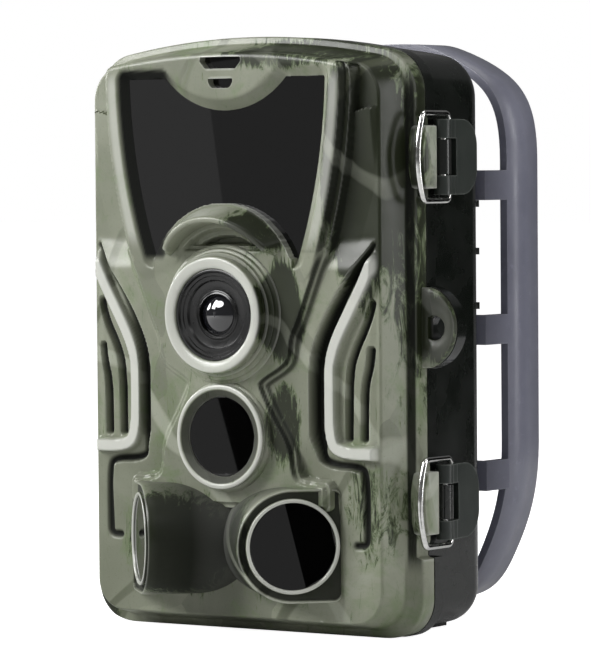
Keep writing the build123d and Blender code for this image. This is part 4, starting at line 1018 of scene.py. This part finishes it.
def stage_material(name, colour, glow=0.0, camera_only=False):
    """A plain matt stage surface, which may also glow, for the camera alone if asked."""
    n = Nodes(name)
    tone = n.ramp(n.noise(3.0, 2.0), (0.3, colour), (0.7, scaled(colour, 0.97)))
    if camera_only:
        seen_directly = n.add("ShaderNodeLightPath").outputs["Is Camera Ray"]
        glow = n.maths("MULTIPLY", seen_directly, glow)
    n.feed(n.shader.inputs["Emission Strength"], glow)
    return n.finish(tone, 0.9, Specular_IOR_Level=0.0, Emission_Color=(1, 1, 1, 1))


def flat_mesh(name, corners, material):
    """A flat stage piece with these corners."""
    mesh = bpy.data.meshes.new(name)
    mesh.from_pydata([tuple(c) for c in corners], [], [tuple(range(len(corners)))])
    mesh.materials.append(material)
    piece = new_object(name, mesh)
    return piece


FLOOR_HALF = 6.0
flat_mesh("floor", [(sx * FLOOR_HALF, sy * FLOOR_HALF, 0) for sx, sy in ((-1, -1), (1, -1), (1, 1), (-1, 1))],
          stage_material("pale_floor", (0.86, 0.86, 0.86), 0.93, True))


def reflector(name, spots, tone, distance=0.5):
    """A card that these mirror spots, rows of place in the frame and normal, reflect to the camera."""
    corners = []
    for at, normal in spots:
        sight = (Vector(at) - CAMERA_PLACE).normalized()
        normal = Vector(normal).normalized()
        corners.append(Vector(at) + distance * (sight - 2 * sight.dot(normal) * normal))
    card = flat_mesh(name, corners, stage_material(name + "_tone", (0.0, 0.0, 0.0), tone))
    card.visible_camera = card.visible_diffuse = card.visible_shadow = card.visible_transmission = False


def front_spots(corners, depth):
    """Mirror spots on a front pane, from (x, z) corners."""
    return [(in_frame((x, depth, z))[0], (0, -1, 0)) for x, z in corners]


def pod_spots(side, corners):
    """Mirror spots on a side sensor's pane, from (u, v) corners on its face."""
    place = pod_place(side)
    return [(in_frame(place(u, v, -0.3))[0], (side * LEAN, -LEAN, 0)) for u, v in corners]


def dome_spots(x, z, half_width, half_height, steps=10):
    """Mirror spots round an oval on the lens dome, centred at (x, z) from its axis."""
    spots = []
    for k in range(steps):
        turn = 2 * math.pi * k / steps
        dx, dz = x + half_width * math.cos(turn), z + half_height * math.sin(turn)
        rise = math.sqrt(DOME_RADIUS**2 - dx**2 - dz**2)
        spots.append((in_frame((dx, DOME_TIP + DOME_RADIUS - rise, LENS_Z + dz))[0], (dx, -rise, dz)))
    return spots


def soft_box(name, place, size, power):
    """A soft rectangular light that faces the object."""
    light = bpy.data.lights.new(name, "AREA")
    light.shape = "RECTANGLE"
    light.size, light.size_y = size
    light.energy = power
    box = new_object(name, light)
    box.location = place
    box.rotation_euler = (OBJECT_CENTRE - Vector(place)).to_track_quat("-Z", "Y").to_euler()


def from_camera(right, up, distance):
    """A place seen from the object at these angles to the right of and above the camera, in degrees."""
    a, b = math.radians(right), math.radians(up)
    level = -forward * math.cos(a) + camera_right * math.sin(a)
    return OBJECT_CENTRE + (level * math.cos(b) + camera_up * math.sin(b)) * distance


def pane_cards(names, spots, sides, ends, split, tones, distance=0.5):
    """Two cards for one pane, left and right of a line that runs a little to the right as it falls."""
    (left, right), (low, high) = sides, ends
    top, foot = (split[0], high), (split[1], low)
    halves = (((left, high), top, foot, (left, low)), (top, (right, high), (right, low), foot))
    for name, tone, corners in zip(names, tones, halves):
        reflector(name, spots(corners), tone, distance)


PIR_PANE_DEPTH, POD_CARD_DISTANCE = -5.3, 0.055
pane_cards(("card_window_left", "card_window_right"), lambda corners: front_spots(corners, GLASS_DEPTH),
           (-34, 40), (78, 132), (-6.2, 1.8), (0.62, 0.36))
pane_cards(("card_pir_left", "card_pir_right"), lambda corners: front_spots(corners, PIR_PANE_DEPTH),
           (-13, 14), (33, 56), (-1.9, 5.6), (0.42, 0.0))
pane_cards(("card_pod_left_part", "card_pod_right_part"), lambda corners: pod_spots(1, corners),
           (-14, 14), (-14, 14), (-2.9, 4.0), (0.42, 0.0), POD_CARD_DISTANCE)
far_pane = pod_spots(-1, ((-14, 14), (14, 14), (14, -14), (-14, -14)))
reflector("card_far_pod", far_pane, 0.0, POD_CARD_DISTANCE)
reflector("card_glint_left", dome_spots(-2.05, 1.98, 0.75, 0.95), 14.0, 0.35)
reflector("card_glint_right", dome_spots(1.0, 2.4, 1.05, 0.75), 14.0, 0.35)
side_corners = ((-50.0, 26.0), (110.0, 26.0), (110.0, 220.0), (-50.0, 220.0))
reflector("card_case_side", [(in_frame((42.4, d, z))[0], (1, 0, 0)) for d, z in side_corners], 0.0, 0.2)

soft_box("key_left", from_camera(-76, 30, 0.9), (0.25, 0.45), 7.0)
soft_box("fill_right", from_camera(30, 40, 1.0), (0.4, 0.3), 1.2)
soft_box("side_strip", from_camera(74, 14, 0.8), (0.10, 0.7), 2.2)
soft_box("top_fill", (0.1, 0.1, 1.0), (0.5, 0.5), 2.2)

# white to the camera, dim to everything else
world = bpy.data.worlds.new("studio")
world.use_nodes = True
nodes, links = world.node_tree.nodes, world.node_tree.links
seen = nodes.new("ShaderNodeLightPath")
tones = nodes.new("ShaderNodeMix")
tones.data_type = "RGBA"
tones.inputs[6].default_value = (0.12, 0.12, 0.12, 1)
tones.inputs[7].default_value = (1.0, 1.0, 1.0, 1)
links.new(seen.outputs["Is Camera Ray"], tones.inputs[0])
links.new(tones.outputs[2], nodes["Background"].inputs["Color"])
bpy.context.scene.world = world
bpy.context.scene.view_settings.view_transform = "Standard"
